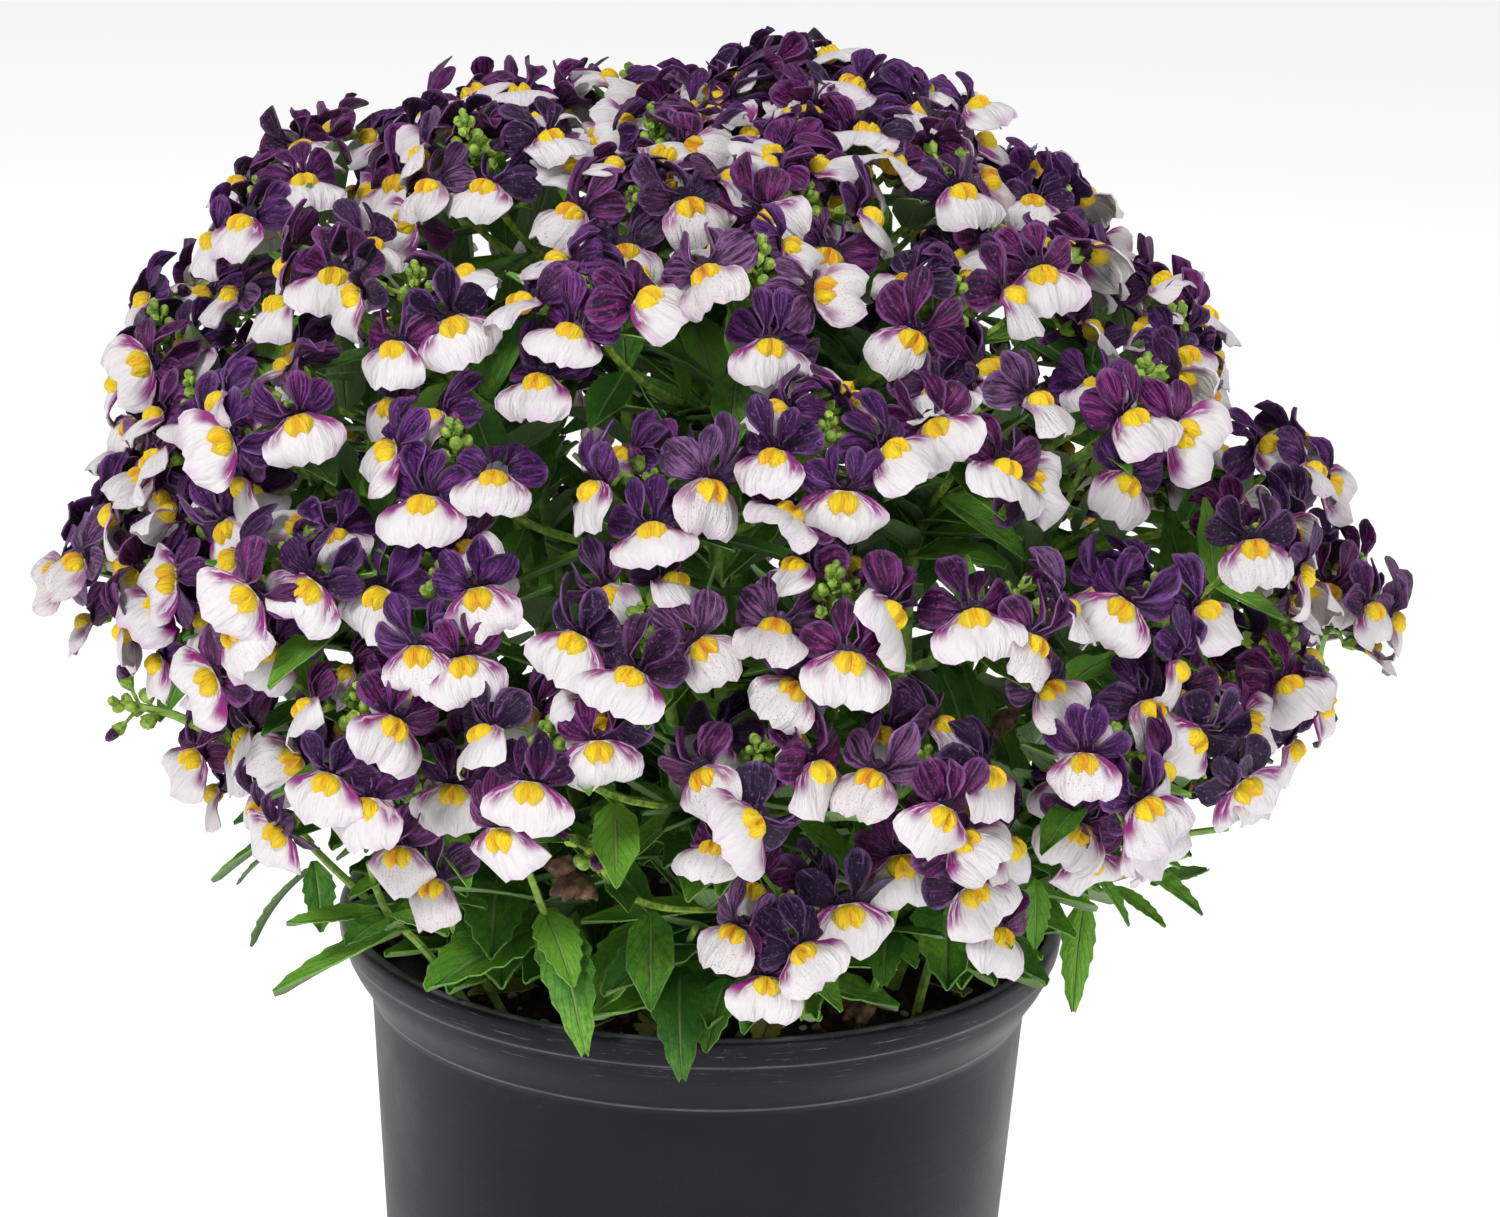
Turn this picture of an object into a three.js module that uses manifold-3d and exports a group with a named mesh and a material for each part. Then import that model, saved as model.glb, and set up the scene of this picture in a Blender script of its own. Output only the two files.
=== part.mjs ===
// A potted nemesia: a nursery pot, its soil, branching leafy stems and a mound of two-lipped
// flowers in heads. Millimetres, +Z up. The origin is the middle of the pot's underside, -Y is the
// front.
import * as THREE from 'three';
import { mergeVertices } from 'three/addons/utils/BufferGeometryUtils.js';
import Module from 'manifold-3d';

const wasm = await Module();
wasm.setup();

// Driving sizes of the pot
const POT_HEIGHT = 165;
const RIM_RADIUS = 85.6;
const RIM_BAND = 6.5;
const BODY_TOP = 144.5;
const BODY_TOP_RADIUS = 77.6;
const BASE_RADIUS = 68.4;
// The collar that flares from the body to the rim band, as radii and heights
const COLLAR = [[78.4, 146], [80.8, 150], [83.6, 155], [84.8, 158.5]];
const INNER_STEP = 147;
const INNER_STEP_RADIUS = 77;
const INNER_TOP_RADIUS = 81.6;
const WALL = 1.6;
const FLOOR = 2.2;
const POT_SIDES = 32;
const SOIL_SIDES = 20;
const DRAIN_COUNT = 6;
const DRAIN_RADIUS = 4.5;
const DRAIN_RING = 47;

// Driving sizes of the soil and of the holes that the stems stand in
const SOIL_TOP = 153;
const SOIL_CROWN = 3;
const HOLE_DEPTH = 12;
const STEM_RADIUS = 1.6;
const CLEAR = 0.3;
const WELD = 0.002;

// The tiers of the mound: height and radius of the ring of flower heads, the ring's middle in X,
// its sprays and the heads on each, the flowers on a head, the lift of their faces, the azimuth
// of the first spray, and how far the ring rises towards +X
const TIERS = [
  { z: 221, r: 112, x: 6, sprays: 6, heads: 3, blooms: 3, lift: -8, turn: -86, rise: 0, hole: 50 },
  { z: 247, r: 132, x: 4, sprays: 7, heads: 3, blooms: 3, lift: 4, turn: -88.7, rise: -4, hole: 38 },
  { z: 271, r: 128, x: 0, sprays: 7, heads: 3, blooms: 3, lift: 14, turn: -80, rise: -3, hole: 38 },
  { z: 300, r: 114, x: -10, sprays: 6, heads: 3, blooms: 3, lift: 26, turn: -93, rise: 5, hole: 50 },
  { z: 329, r: 90, x: -12, sprays: 5, heads: 3, blooms: 3, lift: 40, turn: -75, rise: 0, hole: 26 },
  { z: 346, r: 61, x: -9, sprays: 3, heads: 3, blooms: 3, lift: 54, turn: -60, rise: 2, hole: 14 },
  { z: 349, r: 22, x: -2, sprays: 1, heads: 4, blooms: 4, lift: 72, turn: -90, rise: 0, hole: 3 },
];
// The front of the lowest tier hangs lower, in a narrow dip, and a few heads of the second tier
// reach further out
const FRONT_DIP = { tier: 0, turn: -84, sharp: 24, depth: 12 };
const REACH = { spray_2_3: [14, 6, 0], spray_2_6: [0, 0, 4] };
// Shoots of the lowest tier that carry only buds, by the name of their spray and place on it
const BUD_SHOOTS = { spray_1_1: [0], spray_1_2: [1] };
const SEED = 90210;
const JITTER = { turn: 2.4, height: 5, radius: 5, roll: 9, face: 8 };

// How far inside and below its heads a spray forks, and the length of its foot
const FORK_BACK = 36;
const FORK_DROP = 20;
const FORK_FOOT = 12;

// The tiers whose stems share holes in the soil, by their places in the list of tiers
const BUSHES = [[0, 3], [1, 2], [4, null], [5, null], [6, null]];
const HOLE_TURNS = [0, 7, -7, 11, -11, 15, -15, 19, -19, 24, -24];

// The bud core in the middle of a head: a five-sided double cone, which runs on as the head's stalk
const CORE_SIDES = 5;
const CORE_RADIUS = 2.6;
const CORE_TOP = 5.5;

// One flower, seen from the front: the throat is at 0,0. The upper lip leans back by UPPER_LEAN of
// its height, the lower lip comes forward by LOWER_LEAN of its length.
const THROAT_OUT = 12;
const THROAT_HALF = 2.3;
const UPPER_LEAN = 0.22;
const LOWER_LEAN = 0.5;
const SIDE_LOBE = [9.5, 4.6];
const LOBE_NOTCH = [4.9, 6.4];
const EAR_TIP = [4.4, 12.6];
const MIDDLE_NOTCH = [0, 8.6];
const LIP_SIDE = [9.2, -2.4];
const LIP_LOBE = [6.6, -11.2];
const LIP_NOTCH = [0, -10.2];
const TUBE_BACK = [0, 2.2, -2.9];
const THROAT_ROOF = [0, 0.6, 0.9];
const PALATE = [0, -2.8, 4.6];

// A leaf: half outline from stalk to tip as shares of length and of half width, with its teeth
const LEAF_HALF = [[0.2, 0.85], [0.31, 0.76], [0.46, 1], [0.55, 0.8], [0.75, 0.58]];
const LEAF_RIB = [0.36, 0.74];
const LEAF_FOLD = 0.09;
const LEAF_THICK = 1.2;
const LEAF_WIDTH = 0.46;
const LEAF_ARCH = 0.16;

// The pairs of leaves on a stem: how far along it, their turn from straight out, dip and length
const LEAF_PAIRS = [
  [
    { along: 0.42, sides: [-1, 1], spread: 30, dip: 10, length: 42 },
    { along: 0.62, sides: [-1, 1], spread: 62, dip: -8, length: 38 },
  ],
  [{ along: 0.56, sides: [-1, 1], spread: 55, dip: -8, length: 34 }],
  [{ along: 0.6, sides: [1], spread: 50, dip: 10, length: 32 }],
  [],
  [],
  [],
  [],
];

const UP = new THREE.Vector3(0, 0, 1);
const vec = (x, y, z) => new THREE.Vector3(x, y, z);
const rad = (degrees) => THREE.MathUtils.degToRad(degrees);

// A seeded draw between -1 and 1
let seedState = SEED;
function draw() {
  seedState = (seedState * 16807) % 2147483647;
  return (2 * seedState) / 2147483647 - 1;
}

// Solids from three.js geometries, and back
function solid(geometry) {
  geometry.deleteAttribute('normal');
  geometry.deleteAttribute('uv');
  const merged = mergeVertices(geometry, 1e-4);
  return new wasm.Manifold(new wasm.Mesh({
    numProp: 3,
    vertProperties: new Float32Array(merged.attributes.position.array),
    triVerts: new Uint32Array(merged.index.array),
  }));
}

function geometryOf(body) {
  const mesh = body.getMesh();
  const geometry = new THREE.BufferGeometry();
  geometry.setAttribute('position', new THREE.BufferAttribute(mesh.vertProperties, 3));
  geometry.setIndex(new THREE.BufferAttribute(mesh.triVerts, 1));
  geometry.computeVertexNormals();
  return geometry;
}

// Whether a joined body stays closed when corners closer than WELD are taken as one
function isSound(body) {
  const welded = mergeVertices(geometryOf(body).deleteAttribute('normal'), WELD);
  const corners = welded.index.array;
  const edges = new Set();
  let repeated = false;
  for (let i = 0; i < corners.length; i += 3) {
    const face = [corners[i], corners[i + 1], corners[i + 2]];
    if (new Set(face).size === 3) {
      face.forEach((corner, k) => {
        const edge = `${corner} ${face[(k + 1) % 3]}`;
        repeated = repeated || edges.has(edge);
        edges.add(edge);
      });
    }
  }
  const paired = [...edges].every((edge) => edges.has(edge.split(' ').reverse().join(' ')));
  return paired && !repeated && body.decompose().length === 1;
}

function polyhedron(points, faces) {
  const geometry = new THREE.BufferGeometry().setFromPoints(points);
  geometry.setIndex(faces.flat());
  return geometry;
}

function polar(radius, degrees, z, x = 0) {
  return vec(x + radius * Math.cos(rad(degrees)), radius * Math.sin(rad(degrees)), z);
}

// Whether a body touches any of a list of bodies, by their boxes and then by their common volume
function boxOf(body) {
  const box = body.boundingBox();
  return new THREE.Box3(vec(...box.min), vec(...box.max));
}

const placed = [];
function clearOf(body, owner, others = placed, most = 1e-5) {
  const box = boxOf(body);
  return others.every((other) => other.owner === owner || !other.box.intersectsBox(box)
    || body.intersect(other.body).volume() < most);
}

function place(body, owner) {
  placed.push({ body, owner, box: boxOf(body) });
}

// The pot: one closed profile turned round, with drain holes cut out of its floor
function potBody() {
  const bandFoot = POT_HEIGHT - RIM_BAND;
  const shape = new THREE.Path();
  shape.moveTo(0, 0);
  shape.lineTo(BASE_RADIUS, 0);
  shape.lineTo(BODY_TOP_RADIUS, BODY_TOP);
  COLLAR.forEach(([radius, height]) => shape.lineTo(radius, height));
  shape.lineTo(RIM_RADIUS, POT_HEIGHT - 1.5);
  shape.lineTo(RIM_RADIUS - 1.5, POT_HEIGHT);
  shape.lineTo(RIM_RADIUS - 3.4, POT_HEIGHT - 0.6);
  shape.lineTo(INNER_TOP_RADIUS, bandFoot);
  shape.lineTo(INNER_STEP_RADIUS, INNER_STEP);
  shape.lineTo(BASE_RADIUS - WALL, FLOOR);
  shape.lineTo(0, FLOOR);
  const profile = shape.getPoints(1);
  let pot = solid(new THREE.LatheGeometry(profile, POT_SIDES).rotateX(Math.PI / 2));
  for (let i = 0; i < DRAIN_COUNT; i += 1) {
    const drain = new THREE.CylinderGeometry(DRAIN_RADIUS, DRAIN_RADIUS, 3 * FLOOR, 8);
    const at = polar(DRAIN_RING, (i * 360) / DRAIN_COUNT, FLOOR / 2);
    drain.rotateX(Math.PI / 2).translate(at.x, at.y, at.z);
    pot = pot.subtract(solid(drain));
  }
  return pot;
}

// The soil: a tapered plug that fills the pot, crowned in the middle, with a hole for each stem
const wallAt = (z) => (z < INNER_STEP
  ? BASE_RADIUS - WALL + ((INNER_STEP_RADIUS - BASE_RADIUS + WALL) * (z - FLOOR)) / (INNER_STEP - FLOOR)
  : INNER_STEP_RADIUS
    + ((INNER_TOP_RADIUS - INNER_STEP_RADIUS) * (z - INNER_STEP)) / (POT_HEIGHT - RIM_BAND - INNER_STEP));

function soilBody(feet) {
  const low = FLOOR + CLEAR;
  const profile = [
    new THREE.Vector2(0, low),
    new THREE.Vector2(wallAt(low) - 0.6, low),
    new THREE.Vector2(wallAt(INNER_STEP - 0.1) - 0.6, INNER_STEP),
    new THREE.Vector2(wallAt(SOIL_TOP - 2) - 0.6, SOIL_TOP - 2),
    new THREE.Vector2(wallAt(SOIL_TOP) * 0.6, SOIL_TOP + 1),
    new THREE.Vector2(0, SOIL_TOP + SOIL_CROWN - 1),
  ];
  let soil = solid(new THREE.LatheGeometry(profile, SOIL_SIDES).rotateX(Math.PI / 2));
  const radius = (STEM_RADIUS + CLEAR) * 1.25;
  for (const foot of feet) {
    const hole = new THREE.CylinderGeometry(radius, radius, HOLE_DEPTH + 20, 4, 1);
    hole.rotateX(Math.PI / 2).rotateZ(Math.PI / 4);
    hole.translate(foot.x, foot.y, SOIL_TOP - HOLE_DEPTH + (HOLE_DEPTH + 20) / 2 - CLEAR);
    soil = soil.subtract(solid(hole));
  }
  return soil;
}

// A path that bends only at its knots, so that a stem stands straight in its hole
class KnotPath extends THREE.Curve {
  constructor(knots) {
    super();
    this.knots = knots;
  }

  getPoint(t) {
    const share = t * (this.knots.length - 1);
    const knot = Math.min(Math.max(Math.floor(share), 0), this.knots.length - 2);
    return this.knots[knot].clone().lerp(this.knots[knot + 1], share - knot);
  }

  getPointAt(u) {
    return this.getPoint(u);
  }

  getTangentAt(u) {
    return this.getTangent(u);
  }
}

// A stem: a square section along such a path
function stemBody(points, radius) {
  const section = new THREE.Shape();
  section.moveTo(radius, 0);
  section.lineTo(0, radius);
  section.lineTo(-radius, 0);
  section.lineTo(0, -radius);
  section.closePath();
  return solid(new THREE.ExtrudeGeometry(section, {
    steps: points.length - 1, extrudePath: new KnotPath(points), bevelEnabled: false,
  }));
}

// The frame of a flower: right, up and facing directions at its throat
function flowerFrame(facing, roll) {
  const z = facing.clone().normalize();
  const y = UP.clone().addScaledVector(z, -UP.dot(z));
  if (y.length() < 0.2) {
    y.set(0, 1, 0).addScaledVector(z, -z.y);
  }
  y.normalize().applyAxisAngle(z, roll);
  return { x: y.clone().cross(z), y, z };
}

// The corner points of a flower, clockwise from the left throat corner over the upper lip to the
// right throat corner and back along the lower lip, then the tube's back, the palate and the roof
// of the throat
const mirror = (points) => points.map(([x, y]) => [-x, y]);
const UPPER_LEFT = mirror([SIDE_LOBE, LOBE_NOTCH, EAR_TIP]);
const UPPER = [...UPPER_LEFT, MIDDLE_NOTCH, ...mirror(UPPER_LEFT).reverse()];
const LOWER_RIGHT = [LIP_SIDE, LIP_LOBE];
const LOWER = [...LOWER_RIGHT, LIP_NOTCH, ...mirror(LOWER_RIGHT).reverse()];
const FLOWER_POINTS = [
  [-THROAT_HALF, 0, 0],
  ...UPPER.map(([x, y]) => [x, y, -UPPER_LEAN * y]),
  [THROAT_HALF, 0, 0],
  ...LOWER.map(([x, y]) => [x, y, -LOWER_LEAN * y]),
  TUBE_BACK,
  PALATE,
  THROAT_ROOF,
];
const LEFT = 0;
const RIGHT = UPPER.length + 1;
const BACK = RIGHT + LOWER.length + 1;
const FRONT = BACK + 1;
const ROOF = BACK + 2;

// Its faces: the flat upper lip with its four lobes, the tent behind it, the raised palate and lip,
// and the lip's flat back. The tube's three-cornered end stays open for the core.
const UPPER_FRONT = [
  [0, 2, 1], [0, 4, 2], [2, 4, 3], [0, ROOF, 4], [ROOF, 8, 4], [8, 6, 4], [4, 6, 5], [8, 7, 6],
];
function flowerFaces() {
  const faces = UPPER_FRONT.map((face) => [...face]);
  for (let i = LEFT; i < RIGHT; i += 1) {
    faces.push([BACK, i, i + 1]);
  }
  for (let i = RIGHT; i < BACK; i += 1) {
    faces.push([FRONT, i + 1 === BACK ? LEFT : i + 1, i]);
  }
  faces.push([FRONT, RIGHT, ROOF], [FRONT, ROOF, LEFT]);
  const notch = RIGHT + 3;
  faces.push([notch, RIGHT, RIGHT + 1], [notch, RIGHT + 1, RIGHT + 2]);
  faces.push([notch, RIGHT + 4, RIGHT + 5], [notch, RIGHT + 5, LEFT], [notch, LEFT, RIGHT]);
  return faces;
}
const FLOWER_FACES = flowerFaces();

function flowerPoints(throat, frame, scale) {
  return FLOWER_POINTS.map(([x, y, z]) => throat.clone()
    .addScaledVector(frame.x, x * scale)
    .addScaledVector(frame.y, y * scale)
    .addScaledVector(frame.z, z * scale));
}

// A head: the core with its stalk, and the flowers stitched to the core's upper faces
function coreOf(head) {
  const points = [head.at.clone().addScaledVector(head.axis, CORE_TOP)];
  for (let i = 0; i < CORE_SIDES; i += 1) {
    const turn = rad((360 * (i - 0.5)) / CORE_SIDES);
    const out = head.out.clone().applyAxisAngle(head.axis, turn);
    points.push(head.at.clone().addScaledVector(out, CORE_RADIUS));
  }
  points.push(head.root);
  return points;
}

function headGeometry(head, flowers) {
  const points = coreOf(head);
  const faces = [];
  for (let i = 0; i < CORE_SIDES; i += 1) {
    const low = 1 + i;
    const high = 1 + ((i + 1) % CORE_SIDES);
    faces.push([CORE_SIDES + 1, high, low]);
    const flower = flowers.find((item) => item.side === i);
    if (!flower) {
      faces.push([0, low, high]);
      continue;
    }
    const first = points.length;
    points.push(...flower.points);
    faces.push(...FLOWER_FACES.map((face) => face.map((n) => n + first)));
    const ring = [0, low, high];
    const end = [first + BACK, first + LEFT, first + RIGHT];
    for (let k = 0; k < 3; k += 1) {
      const next = (k + 1) % 3;
      faces.push([ring[k], ring[next], end[next]], [ring[k], end[next], end[k]]);
    }
  }
  return polyhedron(points, faces);
}

// One flower of a head as a body of its own, closed at the core, to test what it touches
function flowerBody(head, flower) {
  const core = coreOf(head);
  const points = [core[0], core[1 + flower.side], core[1 + ((flower.side + 1) % CORE_SIDES)]];
  points.push(...flower.points);
  const faces = FLOWER_FACES.map((face) => face.map((n) => n + 3));
  const end = [3 + BACK, 3 + LEFT, 3 + RIGHT];
  for (let k = 0; k < 3; k += 1) {
    const next = (k + 1) % 3;
    faces.push([k, next, end[next]], [k, end[next], end[k]]);
  }
  faces.push([0, 2, 1]);
  return solid(polyhedron(points, faces));
}

const nameOf = ({ tier, index }) => `spray_${TIERS.indexOf(tier) + 1}_${index + 1}`;

// How far a head stands above its ring: the ring's own slope and the dip at the front
function rise(tier, turn) {
  const slope = tier.rise * Math.cos(rad(turn));
  if (tier !== TIERS[FRONT_DIP.tier]) {
    return slope;
  }
  return slope - FRONT_DIP.depth * Math.max(0, Math.cos(rad(turn - FRONT_DIP.turn))) ** FRONT_DIP.sharp;
}

// The heads of a tier, and the sprays that carry them
function sprayHeads(tier, index) {
  const heads = [];
  const pitch = 360 / (tier.sprays * tier.heads);
  for (let i = 0; i < tier.heads; i += 1) {
    const step = index * tier.heads + i - (tier.heads - 1) / 2;
    const turn = tier.turn + pitch * step + JITTER.turn * draw();
    const height = tier.z + JITTER.height * draw() + rise(tier, turn);
    const reach = (REACH[nameOf({ tier, index })] ?? [])[i] ?? 0;
    const radius = tier.r + reach + JITTER.radius * draw();
    const at = polar(radius, turn, height, tier.x);
    const out = polar(1, turn, 0);
    const lift = rad(tier.lift);
    const normal = out.clone().multiplyScalar(Math.cos(lift)).addScaledVector(UP, Math.sin(lift));
    const axis = UP.clone().multiplyScalar(1.1).addScaledVector(out, 0.35).normalize();
    const flat = out.clone().addScaledVector(axis, -axis.dot(out)).normalize();
    heads.push({ at, out: flat, axis, normal, roll: JITTER.roll * draw() });
  }
  return heads;
}

function forkOf(tier, heads) {
  const middle = heads.reduce((sum, head) => sum.add(head.at), vec(0, 0, 0));
  middle.divideScalar(heads.length);
  const axisPoint = vec(tier.x, 0, middle.z);
  const inward = axisPoint.clone().sub(middle);
  const back = Math.min(FORK_BACK, inward.length() * 0.8);
  const fork = middle.clone().addScaledVector(inward.normalize(), back);
  fork.z -= FORK_DROP + tier.lift * 0.25;
  return fork;
}

// The flowers of a head: each tries its own place first, then a turned or smaller one
const TRIES = [
  [0, 0, 1], [6, 0, 0.95], [-6, 0, 0.95], [0, 4, 0.92], [0, -4, 0.92], [8, 3, 0.88],
  [-8, -3, 0.88], [0, 6, 0.82], [0, -6, 0.82], [0, 0, 0.8], [10, 0, 0.75], [-10, 0, 0.75], [0, 0, 0.68],
];
const SIDES_BY_COUNT = { 3: [0, 1, 4], 4: [0, 1, 4, 2] };

function growFlowers(head, tier, owner) {
  const flowers = [];
  for (const side of SIDES_BY_COUNT[tier.blooms]) {
    const turn = (360 * side) / CORE_SIDES;
    const wander = JITTER.face * draw();
    const rise = side === 0 ? -3 : 3;
    for (const [swing, shift, scale] of TRIES) {
      const out = head.out.clone().applyAxisAngle(head.axis, rad(turn + swing));
      const throat = head.at.clone().addScaledVector(out, THROAT_OUT);
      throat.addScaledVector(head.axis, rise + shift);
      const facing = out.clone().multiplyScalar(0.62).addScaledVector(head.normal, 0.7);
      facing.applyAxisAngle(head.axis, rad(wander));
      const frame = flowerFrame(facing, rad(head.roll));
      const flower = { side, points: flowerPoints(throat, frame, scale) };
      const body = flowerBody(head, flower);
      if (body.status() === 'NoError' && body.volume() > 0 && clearOf(body, null)) {
        place(body, owner);
        flowers.push(flower);
        break;
      }
    }
  }
  return flowers;
}

// The end of a spray: where its stalks meet, the way its foot runs and the stem that carries it
function sprayPlan(tier, index) {
  const heads = sprayHeads(tier, index);
  const fork = forkOf(tier, heads);
  const turn = tier.turn + (index * 360) / tier.sprays;
  const bend = vec(fork.x, fork.y, 0).multiplyScalar(0.8).setZ(fork.z - 34);
  const down = bend.clone().sub(fork).normalize();
  const foot = fork.clone().addScaledVector(down, FORK_FOOT);
  for (const head of heads) {
    head.root = fork.clone().addScaledVector(down, FORK_FOOT - 1.5);
  }
  return { tier, index, heads, fork, foot, down, turn };
}

// A stem stands in its hole, or branches off the first stem of its bush just above the soil
function stemPoints({ base, foot, down, branches }) {
  const start = base.clone().setZ(SOIL_TOP - HOLE_DEPTH + CLEAR);
  const top = foot.clone().addScaledVector(down, CLEAR);
  const below = foot.clone().addScaledVector(down, 10);
  const crown = base.clone().setZ(SOIL_TOP + 3);
  return branches ? [crown, below, top] : [start, crown, below, top];
}

function sprayBody(plan, owner) {
  const bare = BUD_SHOOTS[owner] ?? [];
  let body = stemBody([plan.fork, plan.foot], STEM_RADIUS);
  plan.heads.forEach((head, i) => {
    const flowers = bare.includes(i) ? [] : growFlowers(head, plan.tier, owner);
    body = body.add(solid(headGeometry(head, flowers)));
  });
  return body;
}

// A leaf: a thin toothed blade, folded along its sunken midrib and arched to its tip. Its two sides
// share the margin.
function leafGeometry(length, width) {
  const arch = (share) => -LEAF_ARCH * length * share * share;
  const margin = (side) => LEAF_HALF.map(([along, out]) => vec((side * out * width) / 2,
    along * length, arch(along) + LEAF_FOLD * out * width));
  const ribAt = (drop) => LEAF_RIB.map((along) => vec(0, along * length, arch(along) - drop));
  const points = [...margin(-1), ...margin(1), vec(0, length, arch(1)), vec(0, 0, -LEAF_THICK / 2),
    ...ribAt(0), ...ribAt(LEAF_THICK)];
  const count = LEAF_HALF.length;
  const tip = 2 * count;
  const root = tip + 1;
  const faces = [];
  const side = (first, near, far, flip) => {
    const edge = [root, first, first + 1, first + 2, first + 3, first + 4, tip];
    edge.slice(0, -1).forEach((corner, i) => {
      const rib = i < 3 ? near : far;
      faces.push(flip ? [rib, corner, edge[i + 1]] : [rib, edge[i + 1], corner]);
    });
    faces.push(flip ? [near, edge[3], far] : [near, far, edge[3]]);
  };
  side(0, root + 1, root + 2, false);
  side(count, root + 1, root + 2, true);
  side(0, root + 3, root + 4, true);
  side(count, root + 3, root + 4, false);
  return polyhedron(points, faces);
}

// A leaf grows from a point in a level direction, and its blade dips or rises by an angle
function leafBody(at, turn, dip, length) {
  const geometry = leafGeometry(length, length * LEAF_WIDTH);
  const along = polar(Math.cos(rad(dip)), turn, Math.sin(rad(dip)));
  const across = vec(along.y, -along.x, 0).normalize();
  const face = across.clone().cross(along);
  const root = at.clone().addScaledVector(along, -0.8);
  geometry.applyMatrix4(new THREE.Matrix4().makeBasis(across, along, face).setPosition(root));
  return solid(geometry);
}

// The leaves of one stem in opposite pairs, joined to its bush: each tries its own direction first
const leaves = [];
const LEAF_ROOT_SHARE = 2;
const LEAF_PAIR_STEP = 0.015;
const LEAF_TRIES = [[0, 0], [8, 6], [-8, 6], [14, -8], [-14, -8], [0, 14], [0, -16], [20, 0], [-20, 0]];

function addLeaves(bush, plan, owner) {
  const path = new KnotPath(stemPoints(plan));
  let body = bush;
  for (const pair of LEAF_PAIRS[TIERS.indexOf(plan.tier)]) {
    const along = pair.along + 0.03 * draw();
    for (const side of pair.sides) {
      const at = path.getPoint(along + LEAF_PAIR_STEP * side);
      const outward = THREE.MathUtils.radToDeg(Math.atan2(at.y, at.x - plan.tier.x));
      const spread = side * pair.spread + 8 * draw();
      const length = pair.length * (1 + 0.12 * draw());
      for (const [swing, dip] of LEAF_TRIES) {
        const leaf = leafBody(at, outward + spread + swing, pair.dip + dip, length);
        const free = clearOf(leaf, owner) && clearOf(leaf, null, leaves, LEAF_ROOT_SHARE);
        const joined = free ? body.add(leaf) : null;
        if (joined && isSound(joined)) {
          place(leaf, owner);
          leaves.push(placed.at(-1));
          body = joined;
          break;
        }
      }
    }
  }
  return body;
}

// The stems that share one hole in the soil, with their leaves, as one green body
function bushBody(members, owner) {
  const stems = members.map((plan) => stemBody(stemPoints(plan), STEM_RADIUS));
  let bush = stems.reduce((sum, stem) => sum.add(stem));
  for (const plan of members) {
    bush = addLeaves(bush, plan, owner);
  }
  return bush;
}

// The whole plant: the plans first, so that flowers and leaves keep clear of every stalk and stem
const plans = TIERS.map((tier) => Array.from({ length: tier.sprays }, (_, i) => sprayPlan(tier, i)));
for (const plan of plans.flat()) {
  for (const head of plan.heads) {
    place(solid(headGeometry(head, [])), nameOf(plan));
  }
  place(stemBody([plan.fork, plan.foot], STEM_RADIUS), nameOf(plan));
}

// The stems next: the hole of a bush is turned a little where its stems would cross others
const bushes = [];
for (const [first, second] of BUSHES) {
  for (const plan of plans[first]) {
    const members = second === null ? [plan] : [plan, plans[second][plan.index]];
    members.forEach((member, i) => { member.branches = i > 0; });
    const name = `leafy_stem_${bushes.length + 1}`;
    for (const swing of HOLE_TURNS) {
      const base = polar(plan.tier.hole, plan.turn + swing, SOIL_TOP);
      members.forEach((member) => { member.base = base; });
      const stems = members.map((member) => stemBody(stemPoints(member), STEM_RADIUS));
      if (stems.every((stem) => clearOf(stem, name))) {
        stems.forEach((stem) => place(stem, name));
        bushes.push({ name, members });
        break;
      }
    }
  }
}

const group = new THREE.Group();
function addNode(name, body, material) {
  const mesh = new THREE.Mesh(geometryOf(body), material);
  mesh.name = name;
  group.add(mesh);
}

const finish = (color, roughness) => new THREE.MeshStandardMaterial({ color, roughness, metalness: 0 });
const POT_PLASTIC = finish(0x1b1a1f, 0.45);
const SOIL_PEAT = finish(0x2b2019, 0.95);
const LEAF_GREEN = finish(0x55783a, 0.6);
const PETAL_PURPLE = finish(0x4a1f73, 0.7);

const pot = potBody();
const soil = soilBody(bushes.map((bush) => bush.members[0].base));
place(pot, 'pot');
place(soil, 'soil');
addNode('pot', pot, POT_PLASTIC);
addNode('soil', soil, SOIL_PEAT);
for (const plan of plans.flat()) {
  addNode(nameOf(plan), sprayBody(plan, nameOf(plan)), PETAL_PURPLE);
}
for (const { name, members } of bushes) {
  addNode(name, bushBody(members, name), LEAF_GREEN);
}

export default group;
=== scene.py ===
# %% [markdown]
# # A potted nemesia
# Nemesia is a bedding plant: thin branching stems with toothed leaves in pairs, and a mound of small
# two-lipped flowers. Each flower has four violet lobes above, a white lip below and a raised yellow
# double palate in the throat. This lesson models one flower, then lets a seeded rule repeat it,
# because six hundred flowers placed by hand would look no better than six hundred placed by rule.
# The imported model is loaded first: it fixes the size and place of every pot, stem and spray.

# %% Load the imported model
import math
import random
from contextlib import contextmanager

import bmesh
import bpy
import numpy as np
from mathutils import Matrix, Vector


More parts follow.
